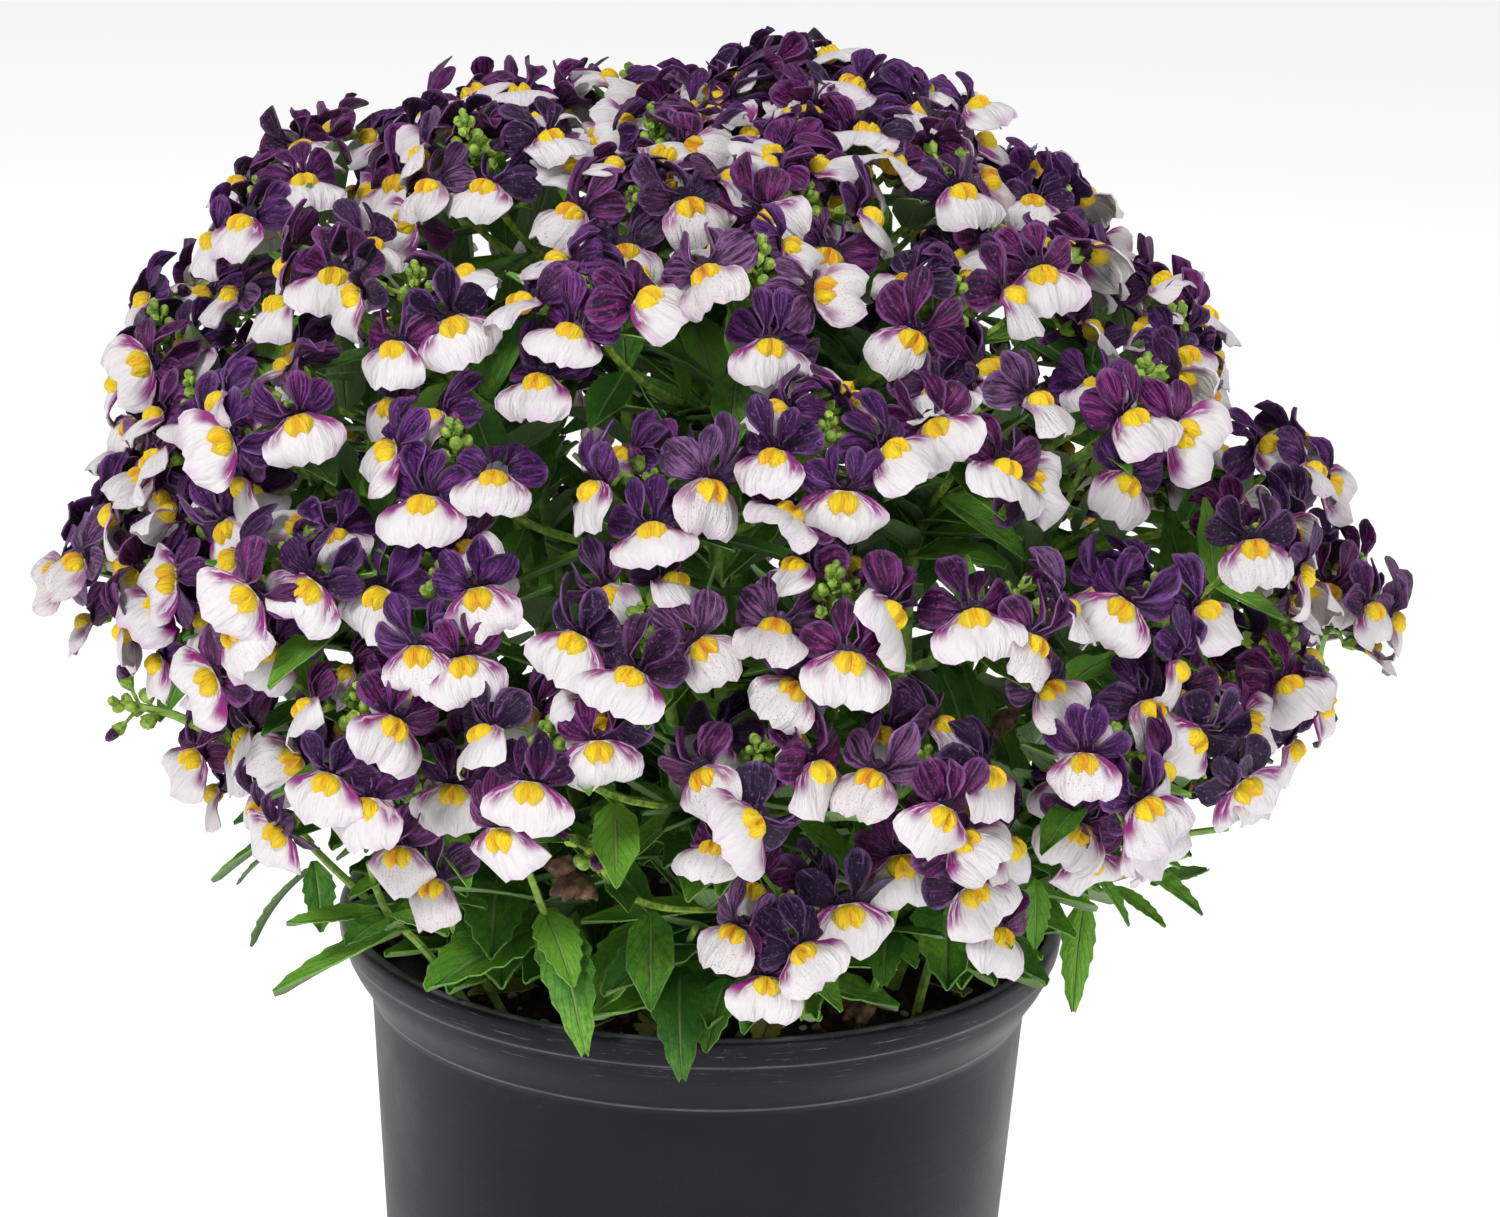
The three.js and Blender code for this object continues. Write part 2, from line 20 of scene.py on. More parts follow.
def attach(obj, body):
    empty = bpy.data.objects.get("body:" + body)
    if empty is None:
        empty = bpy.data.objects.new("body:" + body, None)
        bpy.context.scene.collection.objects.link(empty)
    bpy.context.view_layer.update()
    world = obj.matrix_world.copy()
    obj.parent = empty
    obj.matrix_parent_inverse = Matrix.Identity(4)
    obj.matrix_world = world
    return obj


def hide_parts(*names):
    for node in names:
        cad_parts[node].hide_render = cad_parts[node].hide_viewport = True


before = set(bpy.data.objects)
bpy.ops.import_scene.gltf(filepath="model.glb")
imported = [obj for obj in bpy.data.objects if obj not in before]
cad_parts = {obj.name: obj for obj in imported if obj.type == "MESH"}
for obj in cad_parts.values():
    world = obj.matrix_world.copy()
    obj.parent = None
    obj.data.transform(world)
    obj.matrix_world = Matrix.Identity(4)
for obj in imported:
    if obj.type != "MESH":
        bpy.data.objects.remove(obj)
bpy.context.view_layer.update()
MM = 0.001

# %% [markdown]
# ## Camera and studio
# The photograph looks down on the pot from about a metre away with a long lens, so the mound hardly
# narrows towards the top. The camera is placed from those facts: the distance to the middle of the
# rim, the height of the view above it, and the pixel where that middle stands in the picture.
# Three soft lights stand around the plant. More light comes from all round, bright near the horizon
# and dim overhead, so that the gaps between the flowers stay dark. The floor glows a little, which
# makes the ground behind the plant white.

# %% The camera
PICTURE_WIDTH, PICTURE_HEIGHT = 1500, 1217
RIM_MIDDLE = Vector((0.0, 0.0, 0.165))
RIM_PIXEL = (700.0, 901.0)
VIEW_DISTANCE = 1.0
VIEW_ELEVATION = math.radians(21.0)
VIEW_ROLL = math.radians(1.8)
FOCAL_PIXELS = 4206.0
SENSOR = 36.0


def add_camera():
    """Stand the camera on the line to the rim, then turn it so that the rim lands on its pixel."""
    back = Vector((0.0, -math.cos(VIEW_ELEVATION), math.sin(VIEW_ELEVATION)))
    place = RIM_MIDDLE + back * VIEW_DISTANCE
    right = Vector((1.0, 0.0, 0.0))
    up = right.cross(-back)
    across = (PICTURE_WIDTH / 2 - RIM_PIXEL[0]) / FOCAL_PIXELS
    rise = (RIM_PIXEL[1] - PICTURE_HEIGHT / 2) / FOCAL_PIXELS
    aside = across * math.cos(VIEW_ROLL) - rise * math.sin(VIEW_ROLL)
    above = across * math.sin(VIEW_ROLL) + rise * math.cos(VIEW_ROLL)
    look = (-back + right * aside + up * above).normalized()
    bpy.ops.object.camera_add(location=place)
    camera = bpy.context.object
    camera.name = "photo_camera"
    facing = look.to_track_quat("-Z", "Y").to_matrix().to_4x4()
    camera.matrix_world = Matrix.Translation(place) @ facing @ Matrix.Rotation(VIEW_ROLL, 4, "Z")
    camera.data.sensor_width = SENSOR
    camera.data.lens = FOCAL_PIXELS * SENSOR / PICTURE_WIDTH
    camera.data.clip_end = 50.0
    bpy.context.scene.camera = camera
    return camera


camera = add_camera()
print("camera lens", round(camera.data.lens, 1), "mm")

# %% The floor and the lights
FLOOR_SIZE, FLOOR_GREY, FLOOR_GLOW = 30.0, 0.6, 0.75
MOUND_MIDDLE = Vector((0.0, 0.0, 0.25))
LIGHTS = {
    "window_light": dict(place=(-0.9, -1.3, 1.7), size=0.45, power=27.0),
    "front_light": dict(place=(0.9, -1.6, 0.9), size=0.7, power=9.5),
    "top_light": dict(place=(0.2, 0.5, 2.0), size=0.9, power=11.0),
}
AIR_FADE, AIR_LIGHT = (0.1, 0.5), (0.96, 0.05)


def add_floor():
    """A wide pale floor, so that no horizon shows behind the plant."""
    bpy.ops.mesh.primitive_plane_add(size=FLOOR_SIZE, location=(0, 0, 0))
    floor = bpy.context.object
    floor.name = "studio_floor"
    paint = bpy.data.materials.new("floor_paint")
    paint.use_nodes = True
    sockets = paint.node_tree.nodes["Principled BSDF"].inputs
    sockets["Base Color"].default_value = (FLOOR_GREY, FLOOR_GREY, FLOOR_GREY, 1)
    sockets["Roughness"].default_value = 0.9
    sockets["Emission Color"].default_value = (1, 1, 1, 1)
    sockets["Emission Strength"].default_value = FLOOR_GLOW
    floor.data.materials.append(paint)


def add_light(name, place, size, power):
    """A square soft light that faces the middle of the mound."""
    bpy.ops.object.light_add(type="AREA", location=place)
    light = bpy.context.object
    light.name = name
    light.data.size = size
    light.data.energy = power
    light.rotation_euler = (MOUND_MIDDLE - Vector(place)).to_track_quat("-Z", "Y").to_euler()


def add_air():
    """Light from all round: its strength fades with the height of the direction it comes from."""
    world = bpy.data.worlds.new("studio_air")
    bpy.context.scene.world = world
    world.use_nodes = True
    nodes, links = world.node_tree.nodes, world.node_tree.links
    split = nodes.new("ShaderNodeSeparateXYZ")
    links.new(nodes.new("ShaderNodeTexCoord").outputs["Generated"], split.inputs[0])
    fade = nodes.new("ShaderNodeMapRange")
    fade.interpolation_type = "SMOOTHSTEP"
    for socket, number in zip(fade.inputs[1:], (*AIR_FADE, *AIR_LIGHT)):
        socket.default_value = number
    links.new(split.outputs[2], fade.inputs[0])
    links.new(fade.outputs[0], nodes["Background"].inputs["Strength"])
    nodes["Background"].inputs["Color"].default_value = (1, 1, 1, 1)


add_floor()
for name, light in LIGHTS.items():
    add_light(name, **light)
add_air()
bpy.context.scene.view_settings.view_transform = "Standard"
print("floor,", len(LIGHTS), "lights and light from all round made")

# %% [markdown]
# ## Where everything grows
# The mound is seven rings of flower heads, three or four heads to a spray, each spray on its own stem.
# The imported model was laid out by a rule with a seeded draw, and the same rule runs here, so that
# each fine flower lands on the plain one that it stands for. Lengths are in millimetres up to the
# moment a mesh is made.

# %% The rule of the mound
TIERS = [
    dict(z=221, r=112, x=6, sprays=6, heads=3, blooms=3, lift=-8, turn=-86, rise=0),
    dict(z=247, r=132, x=4, sprays=7, heads=3, blooms=3, lift=4, turn=-88.7, rise=-4),
    dict(z=271, r=128, x=0, sprays=7, heads=3, blooms=3, lift=14, turn=-80, rise=-3),
    dict(z=300, r=114, x=-10, sprays=6, heads=3, blooms=3, lift=26, turn=-93, rise=5),
    dict(z=329, r=90, x=-12, sprays=5, heads=3, blooms=3, lift=40, turn=-75, rise=0),
    dict(z=346, r=61, x=-9, sprays=3, heads=3, blooms=3, lift=54, turn=-60, rise=2),
    dict(z=349, r=22, x=-2, sprays=1, heads=4, blooms=4, lift=72, turn=-90, rise=0),
]
FRONT_DIP = dict(tier=0, turn=-84, sharp=24, depth=12)
REACH = {"spray_2_3": [14, 6, 0], "spray_2_6": [0, 0, 4]}
BUD_SHOOTS = {"spray_1_1": [0], "spray_1_2": [1]}
SEED = 90210
JITTER = dict(turn=2.4, height=5, radius=5, roll=9, face=8)
FORK_BACK, FORK_DROP, FORK_FOOT = 36, 20, 12
THROAT_OUT = 12
SIDES_BY_COUNT = {3: [0, 1, 4], 4: [0, 1, 4, 2]}
SOIL_TOP = 153.0
UP = Vector((0, 0, 1))


class Draw:
    """The seeded draw between -1 and 1 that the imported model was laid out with."""

    def __init__(self, seed):
        self.state = seed

    def __call__(self):
        self.state = (self.state * 16807) % 2147483647
        return 2 * self.state / 2147483647 - 1


draw = Draw(SEED)


def polar(radius, degrees, z, x=0.0):
    """A point on a ring."""
    turn = math.radians(degrees)
    return Vector((x + radius * math.cos(turn), radius * math.sin(turn), z))


def turned(vector, axis, degrees):
    """A vector turned about an axis."""
    return Matrix.Rotation(math.radians(degrees), 3, axis) @ vector


def rise_of(tier, turn):
    """How far a head stands above its ring: the ring's slope and the dip at the front."""
    slope = tier["rise"] * math.cos(math.radians(turn))
    if tier is not TIERS[FRONT_DIP["tier"]]:
        return slope
    facing = max(0.0, math.cos(math.radians(turn - FRONT_DIP["turn"])))
    return slope - FRONT_DIP["depth"] * facing ** FRONT_DIP["sharp"]


def spray_heads(tier, index, reach):
    """The heads of one spray: their places, outward directions and normals of the mound."""
    heads = []
    pitch = 360 / (tier["sprays"] * tier["heads"])
    for i in range(tier["heads"]):
        step = index * tier["heads"] + i - (tier["heads"] - 1) / 2
        turn = tier["turn"] + pitch * step + JITTER["turn"] * draw()
        height = tier["z"] + JITTER["height"] * draw() + rise_of(tier, turn)
        radius = tier["r"] + reach[i] + JITTER["radius"] * draw()
        at = polar(radius, turn, height, tier["x"])
        out = polar(1, turn, 0)
        lift = math.radians(tier["lift"])
        normal = out * math.cos(lift) + UP * math.sin(lift)
        axis = (UP * 1.1 + out * 0.35).normalized()
        flat = (out - axis * axis.dot(out)).normalized()
        heads.append(dict(at=at, out=flat, axis=axis, normal=normal, roll=JITTER["roll"] * draw()))
    return heads


def plan_spray(tier_number, index):
    """A spray: its heads, the fork below them, and the foot that meets its stem."""
    tier = TIERS[tier_number]
    name = f"spray_{tier_number + 1}_{index + 1}"
    heads = spray_heads(tier, index, REACH.get(name, [0] * tier["heads"]))
    middle = sum((head["at"] for head in heads), Vector((0, 0, 0))) / len(heads)
    inward = Vector((tier["x"], 0, middle.z)) - middle
    back = min(FORK_BACK, inward.length * 0.8)
    fork = middle + inward.normalized() * back
    fork.z -= FORK_DROP + tier["lift"] * 0.25
    bend = Vector((fork.x * 0.8, fork.y * 0.8, fork.z - 34))
    down = (bend - fork).normalized()
    return dict(name=name, tier=tier, heads=heads, fork=fork, down=down,
                foot=fork + down * FORK_FOOT)


plans = [[plan_spray(t, i) for i in range(tier["sprays"])] for t, tier in enumerate(TIERS)]
all_plans = [plan for row in plans for plan in row]
print(len(all_plans), "sprays,", sum(len(plan["heads"]) for plan in all_plans), "heads")

# %% [markdown]
# ## Finishes
# Petals, leaves and plastic all get their colour from small node trees. A pattern that belongs to a
# petal, such as its veins, reads the petal's own UV map: U runs across and V from the throat to the
# edge, so a noise stretched along V spreads like veins. A second UV map, "Mood", holds two numbers
# for each flower, its tone and its age, so that no two flowers match. A `Wire` is the output of a
# node. It can be added and multiplied like a number, and each such step adds a node.

# %% Wires and finishes


def feed(socket, value):
    """Put a number, a colour or a wire into a socket."""
    if isinstance(value, Wire):
        value.tree.links.new(value.socket, socket)
    elif isinstance(value, tuple) and len(value) == 3 and len(socket.default_value) == 4:
        socket.default_value = (*value, 1.0)
    else:
        socket.default_value = value


def add_node(tree, kind, inputs, **settings):
    """A node with its settings; its inputs are given by number or by name."""
    node = tree.nodes.new("ShaderNode" + kind)
    for key, value in settings.items():
        setattr(node, key, value)
    for key, value in inputs.items():
        feed(node.inputs[key], value)
    return node


class Wire:
    """The output of a node; every step with it adds a node to the same tree."""

    def __init__(self, socket):
        self.socket = socket
        self.tree = socket.id_data

    def step(self, kind, *values, **settings):
        """A node whose first inputs are this wire and the values."""
        node = add_node(self.tree, kind, dict(enumerate((self, *values))), **settings)
        return Wire(node.outputs[0])

    def compute(self, operation, second=0.0, third=0.0):
        """A Math node."""
        return self.step("Math", second, third, operation=operation)

    def __mul__(self, other):
        return self.compute("MULTIPLY", other)

    def __add__(self, other):
        return self.compute("ADD", other)

    def __sub__(self, other):
        return self.compute("SUBTRACT", other)

    def __abs__(self):
        return self.compute("ABSOLUTE")

    def most(self, other):
        """The larger of two numbers."""
        return self.compute("MAXIMUM", other)

    def spread(self, low, high, start=0.0, end=1.0):
        """A smooth step: start below low, end above high."""
        return self.step("MapRange", low, high, start, end, interpolation_type="SMOOTHSTEP")

    def vector(self, y, z=0.0):
        """A vector with this wire as its x."""
        return self.step("CombineXYZ", y, z)

    def parts(self):
        """The x, y and z of a vector."""
        return [Wire(socket) for socket in add_node(self.tree, "SeparateXYZ", {0: self}).outputs]

    def noise(self, scale, detail=3.0, roughness=0.55):
        """A Noise texture at this point."""
        values = {"Vector": self, "Scale": scale, "Detail": detail, "Roughness": roughness}
        return Wire(add_node(self.tree, "TexNoise", values).outputs["Fac"])


def layered(ground, *layers):
    """Colours laid over a ground one after another, each by its own share."""
    for share, color in layers:
        node = add_node(share.tree, "Mix", {0: share, 6: ground, 7: color}, data_type="RGBA")
        ground = Wire(node.outputs[2])
    return ground


def from_midline(across):
    """0 on the midline of a petal or leaf and 1 at both its sides."""
    return abs(across.compute("MULTIPLY_ADD", 2.0, -1.0))


class Finish:
    """A material; its point is in metres of the shared frame, because all pieces sit at the origin."""

    def __init__(self, name, roughness):
        self.material = bpy.data.materials.new(name)
        self.material.use_nodes = True
        self.tree = self.material.node_tree
        self.point = Wire(add_node(self.tree, "TexCoord", {}).outputs["Object"])
        self.fill({"Roughness": roughness})

    def fill(self, values):
        """Numbers, colours or wires into the shader's sockets."""
        for name, value in values.items():
            feed(self.tree.nodes["Principled BSDF"].inputs[name], value)

    def uv(self, name):
        """The two numbers of a UV map."""
        return Wire(add_node(self.tree, "UVMap", {}, uv_map=name).outputs[0]).parts()[:2]

    def bump(self, height, strength, distance):
        """Relief from a height between 0 and 1."""
        values = {"Height": height, "Strength": strength, "Distance": distance}
        self.fill({"Normal": Wire(add_node(self.tree, "Bump", values).outputs[0])})


# %% [markdown]
# ### Petals
# The upper lobes are velvet: a dark violet ground, darker streaks that fan out from the throat, pale
# streaks with fine specks of painted sheen, and a lighter rim that is partly a pale margin and partly a
# painted gloss highlight, with a soft sheen. The lip is white, flushed with lilac towards its edge, with
# plum streaks at its two upper corners. The palate shares the lip's mesh, and one material tells them
# apart by U, which lies near 4 on the palate. Orange in the palate's groove is painted shade.

# %% The violet upper lobes
VIOLET_DEEP = (0.008, 0.0015, 0.016)
VIOLET = (0.105, 0.017, 0.155)
PLUM = (0.2, 0.012, 0.135)
LILAC = (0.42, 0.19, 0.52)
MAUVE_FADED = (0.21, 0.1, 0.22)


def hood_finish():
    """The upper lobes."""
    finish = Finish("hood_velvet", 0.38)
    across, along = finish.uv("UVMap")
    tone, age = finish.uv("Mood")
    side = from_midline(across)
    veins = (across * 11.0).vector(along * 1.6, tone * 40.0).noise(1.0, 4.0, 0.6)
    patches = finish.point.noise(90.0, 2.0)
    # grain: a fine noise whose pale specks are painted sheen on the velvet
    grain = finish.point.noise(1300.0, 2.0)
    warm = ((tone * 23.0).compute("SINE") + patches * 2.0).spread(0.7, 2.0)
    # Pale streaks between the veins are the lobe's own; the fine grain brightened to lilac is painted
    # sheen, specks of painted highlight.
    light = veins.spread(0.56, 0.78, 0.0, 0.48).most(grain.spread(0.56, 0.76, 0.0, 0.34))
    # A lighter rim at the sides and the tip: partly a pale margin, partly a painted gloss highlight on
    # the curved edges.
    rim = side.spread(0.72, 1.0).most(along.spread(0.84, 1.0)) * patches.spread(0.35, 0.7, 0.03, 0.4)
    finish.fill({
        "Base Color": layered(
            VIOLET_DEEP,
            (tone.spread(0.05, 0.95), VIOLET),
            (warm * 0.75, PLUM),
            (age.spread(0.7, 1.0, 0.0, 0.7), MAUVE_FADED),
            (veins.spread(0.42, 0.6, 0.9, 0.0), VIOLET_DEEP),
            (along.spread(0.0, 0.45, 0.75, 0.0), VIOLET_DEEP),
            (light, LILAC),
            (rim, LILAC),
        ),
        "Sheen Weight": 0.03, "Sheen Roughness": 0.4, "Sheen Tint": (0.75, 0.45, 1.0),
        "Specular IOR Level": 0.2,
    })
    finish.bump(veins, 0.8, 0.0009)
    return finish.material


# %% The white lip and its palate
PETAL_WHITE = (0.72, 0.69, 0.7)
PETAL_CREAM = (0.86, 0.8, 0.52)
LIP_PINK = (0.64, 0.4, 0.62)
LIP_PLUM = (0.24, 0.008, 0.17)
PALATE_YELLOW = (0.9, 0.64, 0.008)
PALATE_ORANGE = (0.76, 0.33, 0.006)
SPECKLE = (0.2, 0.12, 0.16)
LIP_OLD = (0.62, 0.55, 0.56)
PALATE_U = 4.0


def lip_finish():
    """The lower lip, and the palate on it."""
    finish = Finish("lip_and_palate", 0.5)
    across, along = finish.uv("UVMap")
    tone, age = finish.uv("Mood")
    side = from_midline(across)
    streaks = (across * 17.0).vector(along * 2.2, tone * 60.0).noise(1.0, 3.0, 0.6)
    folds = (across * 6.0).vector(along * 1.2, tone * 20.0).noise(1.0, 2.0, 0.5)
    lines = (across * 14.0).vector(along).noise(1.0, 2.0)
    cloud = finish.point.noise(160.0, 3.0)
    dots = finish.point.noise(2600.0, 1.0)
    edge = side.spread(0.62, 1.0).most(along.spread(0.7, 1.0))
    flush = edge * cloud.spread(0.4, 0.7, 0.0, 0.75) * tone.spread(0.2, 0.9, 0.35, 1.0)
    corner = side.spread(0.48, 0.76) * along.spread(0.36, 0.66, 1.0, 0.0)
    lip = layered(
        PETAL_WHITE,
        (streaks.spread(0.5, 0.75, 0.0, 0.3), LIP_PINK),
        (along.spread(0.1, 0.42, 1.0, 0.0) * side.spread(0.3, 0.7, 0.8, 0.0), PETAL_CREAM),
        (flush, LIP_PINK),
        (corner * streaks.spread(0.36, 0.5, 0.25, 1.0), LIP_PLUM),
        (dots.spread(0.64, 0.7) * age.spread(0.25, 0.8, 0.0, 0.8), SPECKLE),
        (age.spread(0.55, 1.0, 0.0, 0.3), LIP_OLD),
    )
    # Orange in the palate's groove is painted shade; the fine orange lines are the palate's own, and
    # older flowers have more of both.
    groove = abs(across - PALATE_U).spread(0.06, 0.3, 1.0, 0.0)
    warm = groove.most(lines.spread(0.5, 0.68, 0.0, 0.6)) * age.spread(0.0, 1.0, 0.3, 1.0)
    palate = layered(PALATE_YELLOW, (warm, PALATE_ORANGE))
    finish.fill({
        "Base Color": layered(lip, (across.compute("GREATER_THAN", PALATE_U / 2), palate)),
        "Sheen Weight": 0.1, "Specular IOR Level": 0.35,
        "Subsurface Weight": 0.12, "Subsurface Radius": (0.0015, 0.001, 0.001),
    })
    finish.bump(streaks + folds * 2.0, 0.85, 0.0009)
    return finish.material


# %% [markdown]
# ### Leaves, stems, buds and withered bits
# A leaf is pale beneath and mid-green above, with a light midrib and side veins that leave it at an
# angle. The underside of a leaf carries U shifted by 2, which is how the material knows it.

# %% The greens and browns
LEAF_TOP = (0.055, 0.21, 0.024)
LEAF_FRESH = (0.19, 0.44, 0.04)
LEAF_SHADE = (0.02, 0.09, 0.015)
LEAF_UNDER = (0.17, 0.27, 0.11)
LEAF_VEIN = (0.3, 0.46, 0.16)
LEAF_OLD = (0.42, 0.4, 0.09)
STEM_GREEN = (0.36, 0.54, 0.1)
STEM_DARK = (0.17, 0.31, 0.05)
BENEATH_U = 2.0


def leaf_finish():
    """A leaf with its veins."""
    finish = Finish("leaf_blade", 0.46)
    across, along = finish.uv("UVMap")
    tone, age = finish.uv("Mood")
    beneath = across.compute("GREATER_THAN", 1.5)
    side = from_midline(across - beneath * BENEATH_U)
    slant = along * 6.5 - side * 3.0
    branch = abs((slant * math.pi).compute("SINE")).spread(0.0, 0.22, 1.0, 0.0)
    veins = side.spread(0.03, 0.12, 1.0, 0.0).most(branch * 0.55)
    cloud = finish.point.noise(55.0, 4.0)
    fine = finish.point.noise(620.0, 4.0, 0.65)
    finish.fill({
        "Base Color": layered(
            LEAF_TOP,
            (cloud.spread(0.35, 0.7), LEAF_FRESH),
            (fine.spread(0.35, 0.6, 0.55, 0.0), LEAF_SHADE),
            (tone.spread(0.4, 1.0, 0.0, 0.8), LEAF_FRESH),
            (tone.spread(0.0, 0.4, 0.55, 0.0), LEAF_SHADE),
            (beneath, LEAF_UNDER),
            (veins * 0.55, LEAF_VEIN),
            (side.spread(0.92, 1.0, 0.0, 0.16), LEAF_VEIN),
            (age.spread(0.75, 1.0, 0.0, 0.95), LEAF_OLD),
        ),
        "Specular IOR Level": 0.28,
    })
    finish.bump(fine * 0.8 - veins, 0.75, 0.0009)
    return finish.material


def green_finish(name, light, dark, scale, roughness):
    """A stem or a bud: two greens in a fine noise, with a little bump."""
    finish = Finish(name, roughness)
    fine = finish.point.noise(scale, 4.0)
    broad = finish.point.noise(scale / 9, 2.0)
    ground = layered(dark, (fine.spread(0.35, 0.7), light), (broad.spread(0.5, 0.75, 0.0, 0.5), dark))
    finish.fill({"Base Color": ground, "Specular IOR Level": 0.3})
    finish.bump(fine, 0.4, 0.0004)
    return finish.material


HOOD, LIP, LEAF = hood_finish(), lip_finish(), leaf_finish()
STEM = green_finish("stem_skin", STEM_GREEN, STEM_DARK, 420.0, 0.5)
BUD = green_finish("bud_skin", (0.42, 0.58, 0.09), (0.13, 0.25, 0.035), 600.0, 0.6)
WITHERED = green_finish("withered_petal", (0.24, 0.13, 0.07), (0.06, 0.035, 0.025), 500.0, 0.8)
print("petal and leaf finishes made")

# %% [markdown]
# ## Shaping petals and leaves from grids
# A petal is a thin sheet, so it starts as a flat grid. Its rows are moved and widened one by one,
# its columns are bent to cup it, and a Solidify modifier gives it a skin of a third of a
# millimetre. A grid keeps a clean UV map, which is what makes the veins follow the petal.

# %% Picking, editing and new objects


def pick(*pieces):
    """Select these pieces only and make the first one active, for the next operator."""
    bpy.ops.object.select_all(action="DESELECT")
    for piece in reversed(pieces):
        piece.select_set(True)
        bpy.context.view_layer.objects.active = piece


@contextmanager
def editing():
    """Edit mode on the active object, with all its points selected at the start."""
    bpy.ops.object.mode_set(mode="EDIT")
    bpy.ops.mesh.select_all(action="SELECT")
    yield
    bpy.ops.object.mode_set(mode="OBJECT")


def close_up(threshold):
    """In edit mode, merge the points that meet and turn the faces outwards."""
    bpy.ops.mesh.select_all(action="SELECT")
    bpy.ops.mesh.remove_doubles(threshold=threshold)
    bpy.ops.mesh.normals_make_consistent(inside=False)


def new_object(name, data):
    """An object of the scene for a mesh or a curve."""
    piece = bpy.data.objects.new(name, data)
    bpy.context.collection.objects.link(piece)
    return piece


def pick_points(piece, wanted):
    """In edit mode, select the vertices with the wanted numbers."""
    net = bmesh.from_edit_mesh(piece.data)
    for point in net.verts:
        point.select_set(point.index in wanted)
    net.select_flush_mode()
    bmesh.update_edit_mesh(piece.data)


def apply_modifier(piece, kind, **settings):
    """Add a modifier, set it and apply it."""
    modifier = piece.modifiers.new(kind.lower(), kind)
    for key, value in settings.items():
        setattr(modifier, key, value)
    bpy.ops.object.modifier_apply(modifier=modifier.name)


# %% A grid that is shaped row by row
PETAL_SKIN = 0.35


def shape_sheet(name, columns, rows, cup=0.0, edge=(), skin=PETAL_SKIN):
    """A sheet from rows of (y, z, half width); the edge moves single points by (row, column, y, z)."""
    bpy.ops.mesh.primitive_grid_add(x_subdivisions=columns, y_subdivisions=len(rows) - 1, size=1)
    sheet = bpy.context.object
    sheet.name = name
    width = columns + 1
    with editing():
        for number, (y, z, half) in enumerate(rows):
            start = number / (len(rows) - 1) - 0.5
            pick_points(sheet, range(number * width, (number + 1) * width))
            bpy.ops.transform.resize(value=(2 * half, 1, 1), center_override=(0, start, 0))
            bpy.ops.transform.translate(value=(0, y - start, z))
        for column in range(width):
            share = 2 * column / columns - 1
            pick_points(sheet, range(width + column, len(rows) * width, width))
            bpy.ops.transform.translate(value=(0, 0, cup * share * share))
        for row, column, y, z in edge:
            pick_points(sheet, [(row % len(rows)) * width + column])
            bpy.ops.transform.translate(value=(0, y, z))
    apply_modifier(sheet, "SOLIDIFY", thickness=skin, offset=0.0)
    return sheet


# %% [markdown]
# A finished shape is kept as a template: its points, its faces and its UV map as plain arrays. A heap
# then takes hundreds of turned and placed copies of templates and makes one mesh of them. Joining
# six hundred flowers as separate objects would take minutes, and the heap takes a second. At the end
# each piece gets its finish, smooth shading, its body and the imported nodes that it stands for.

# %% Templates and heaps


def keep_template(piece):
    """The arrays of a finished shape; the shape itself goes."""
    mesh = piece.data
    points = np.empty(len(mesh.vertices) * 3)
    mesh.vertices.foreach_get("co", points)
    corners = np.empty(len(mesh.loops), dtype=int)
    mesh.loops.foreach_get("vertex_index", corners)
    sizes = np.empty(len(mesh.polygons), dtype=int)
    mesh.polygons.foreach_get("loop_total", sizes)
    flat = np.full(len(mesh.loops) * 2, 0.5)
    if mesh.uv_layers:
        mesh.uv_layers[0].data.foreach_get("uv", flat)
    template = (points.reshape(-1, 3), corners, sizes, flat.reshape(-1, 2))
    bpy.data.objects.remove(piece)
    return template


def moved_uv(template, u, v, scale):
    """A template with its UV map scaled and moved."""
    points, corners, sizes, flat = template
    return points, corners, sizes, flat * scale + np.array([u, v])


class Heap:
    """Copies of templates on their way to becoming one mesh."""

    def __init__(self):
        self.points, self.corners, self.sizes, self.flats, self.moods = [], [], [], [], []
        self.count = 0

    def add(self, template, place, mood=(0.5, 0.0)):
        """One copy, placed by a 4 x 4 matrix in millimetres."""
        points, corners, sizes, flat = template
        grid = np.array(place)
        self.points.append(points @ grid[:3, :3].T + grid[:3, 3])
        self.corners.append(corners + self.count)
        self.sizes.append(sizes)
        self.flats.append(flat)
        self.moods.append(np.tile(np.array(mood), (len(corners), 1)))
        self.count += len(points)

    def make(self, name):
        """The one mesh of all copies, in metres."""
        mesh = bpy.data.meshes.new(name)
        points = np.concatenate(self.points) * MM
        corners = np.concatenate(self.corners)
        sizes = np.concatenate(self.sizes)
        mesh.vertices.add(len(points))
        mesh.vertices.foreach_set("co", points.ravel())
        mesh.loops.add(len(corners))
        mesh.loops.foreach_set("vertex_index", corners)
        mesh.polygons.add(len(sizes))
        mesh.polygons.foreach_set("loop_start", np.concatenate(([0], np.cumsum(sizes)[:-1])))
        mesh.update(calc_edges=True)
        mesh.uv_layers.new(name="UVMap").data.foreach_set("uv", np.concatenate(self.flats).ravel())
        mesh.uv_layers.new(name="Mood").data.foreach_set("uv", np.concatenate(self.moods).ravel())
        return new_object(name, mesh)


# %% Finishing a piece
face_total = {}


def finish_piece(piece, finish, nodes, angle=55.0):
    """Material, smooth shading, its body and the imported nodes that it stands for."""
    pick(piece)
    bpy.ops.object.shade_smooth_by_angle(angle=math.radians(angle))
    piece.data.materials.clear()
    piece.data.materials.append(finish)
    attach(piece, "root")
    if nodes:
        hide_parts(*nodes)
    piece.data.calc_loop_triangles()
    face_total[piece.name] = len(piece.data.loop_triangles)
    return piece


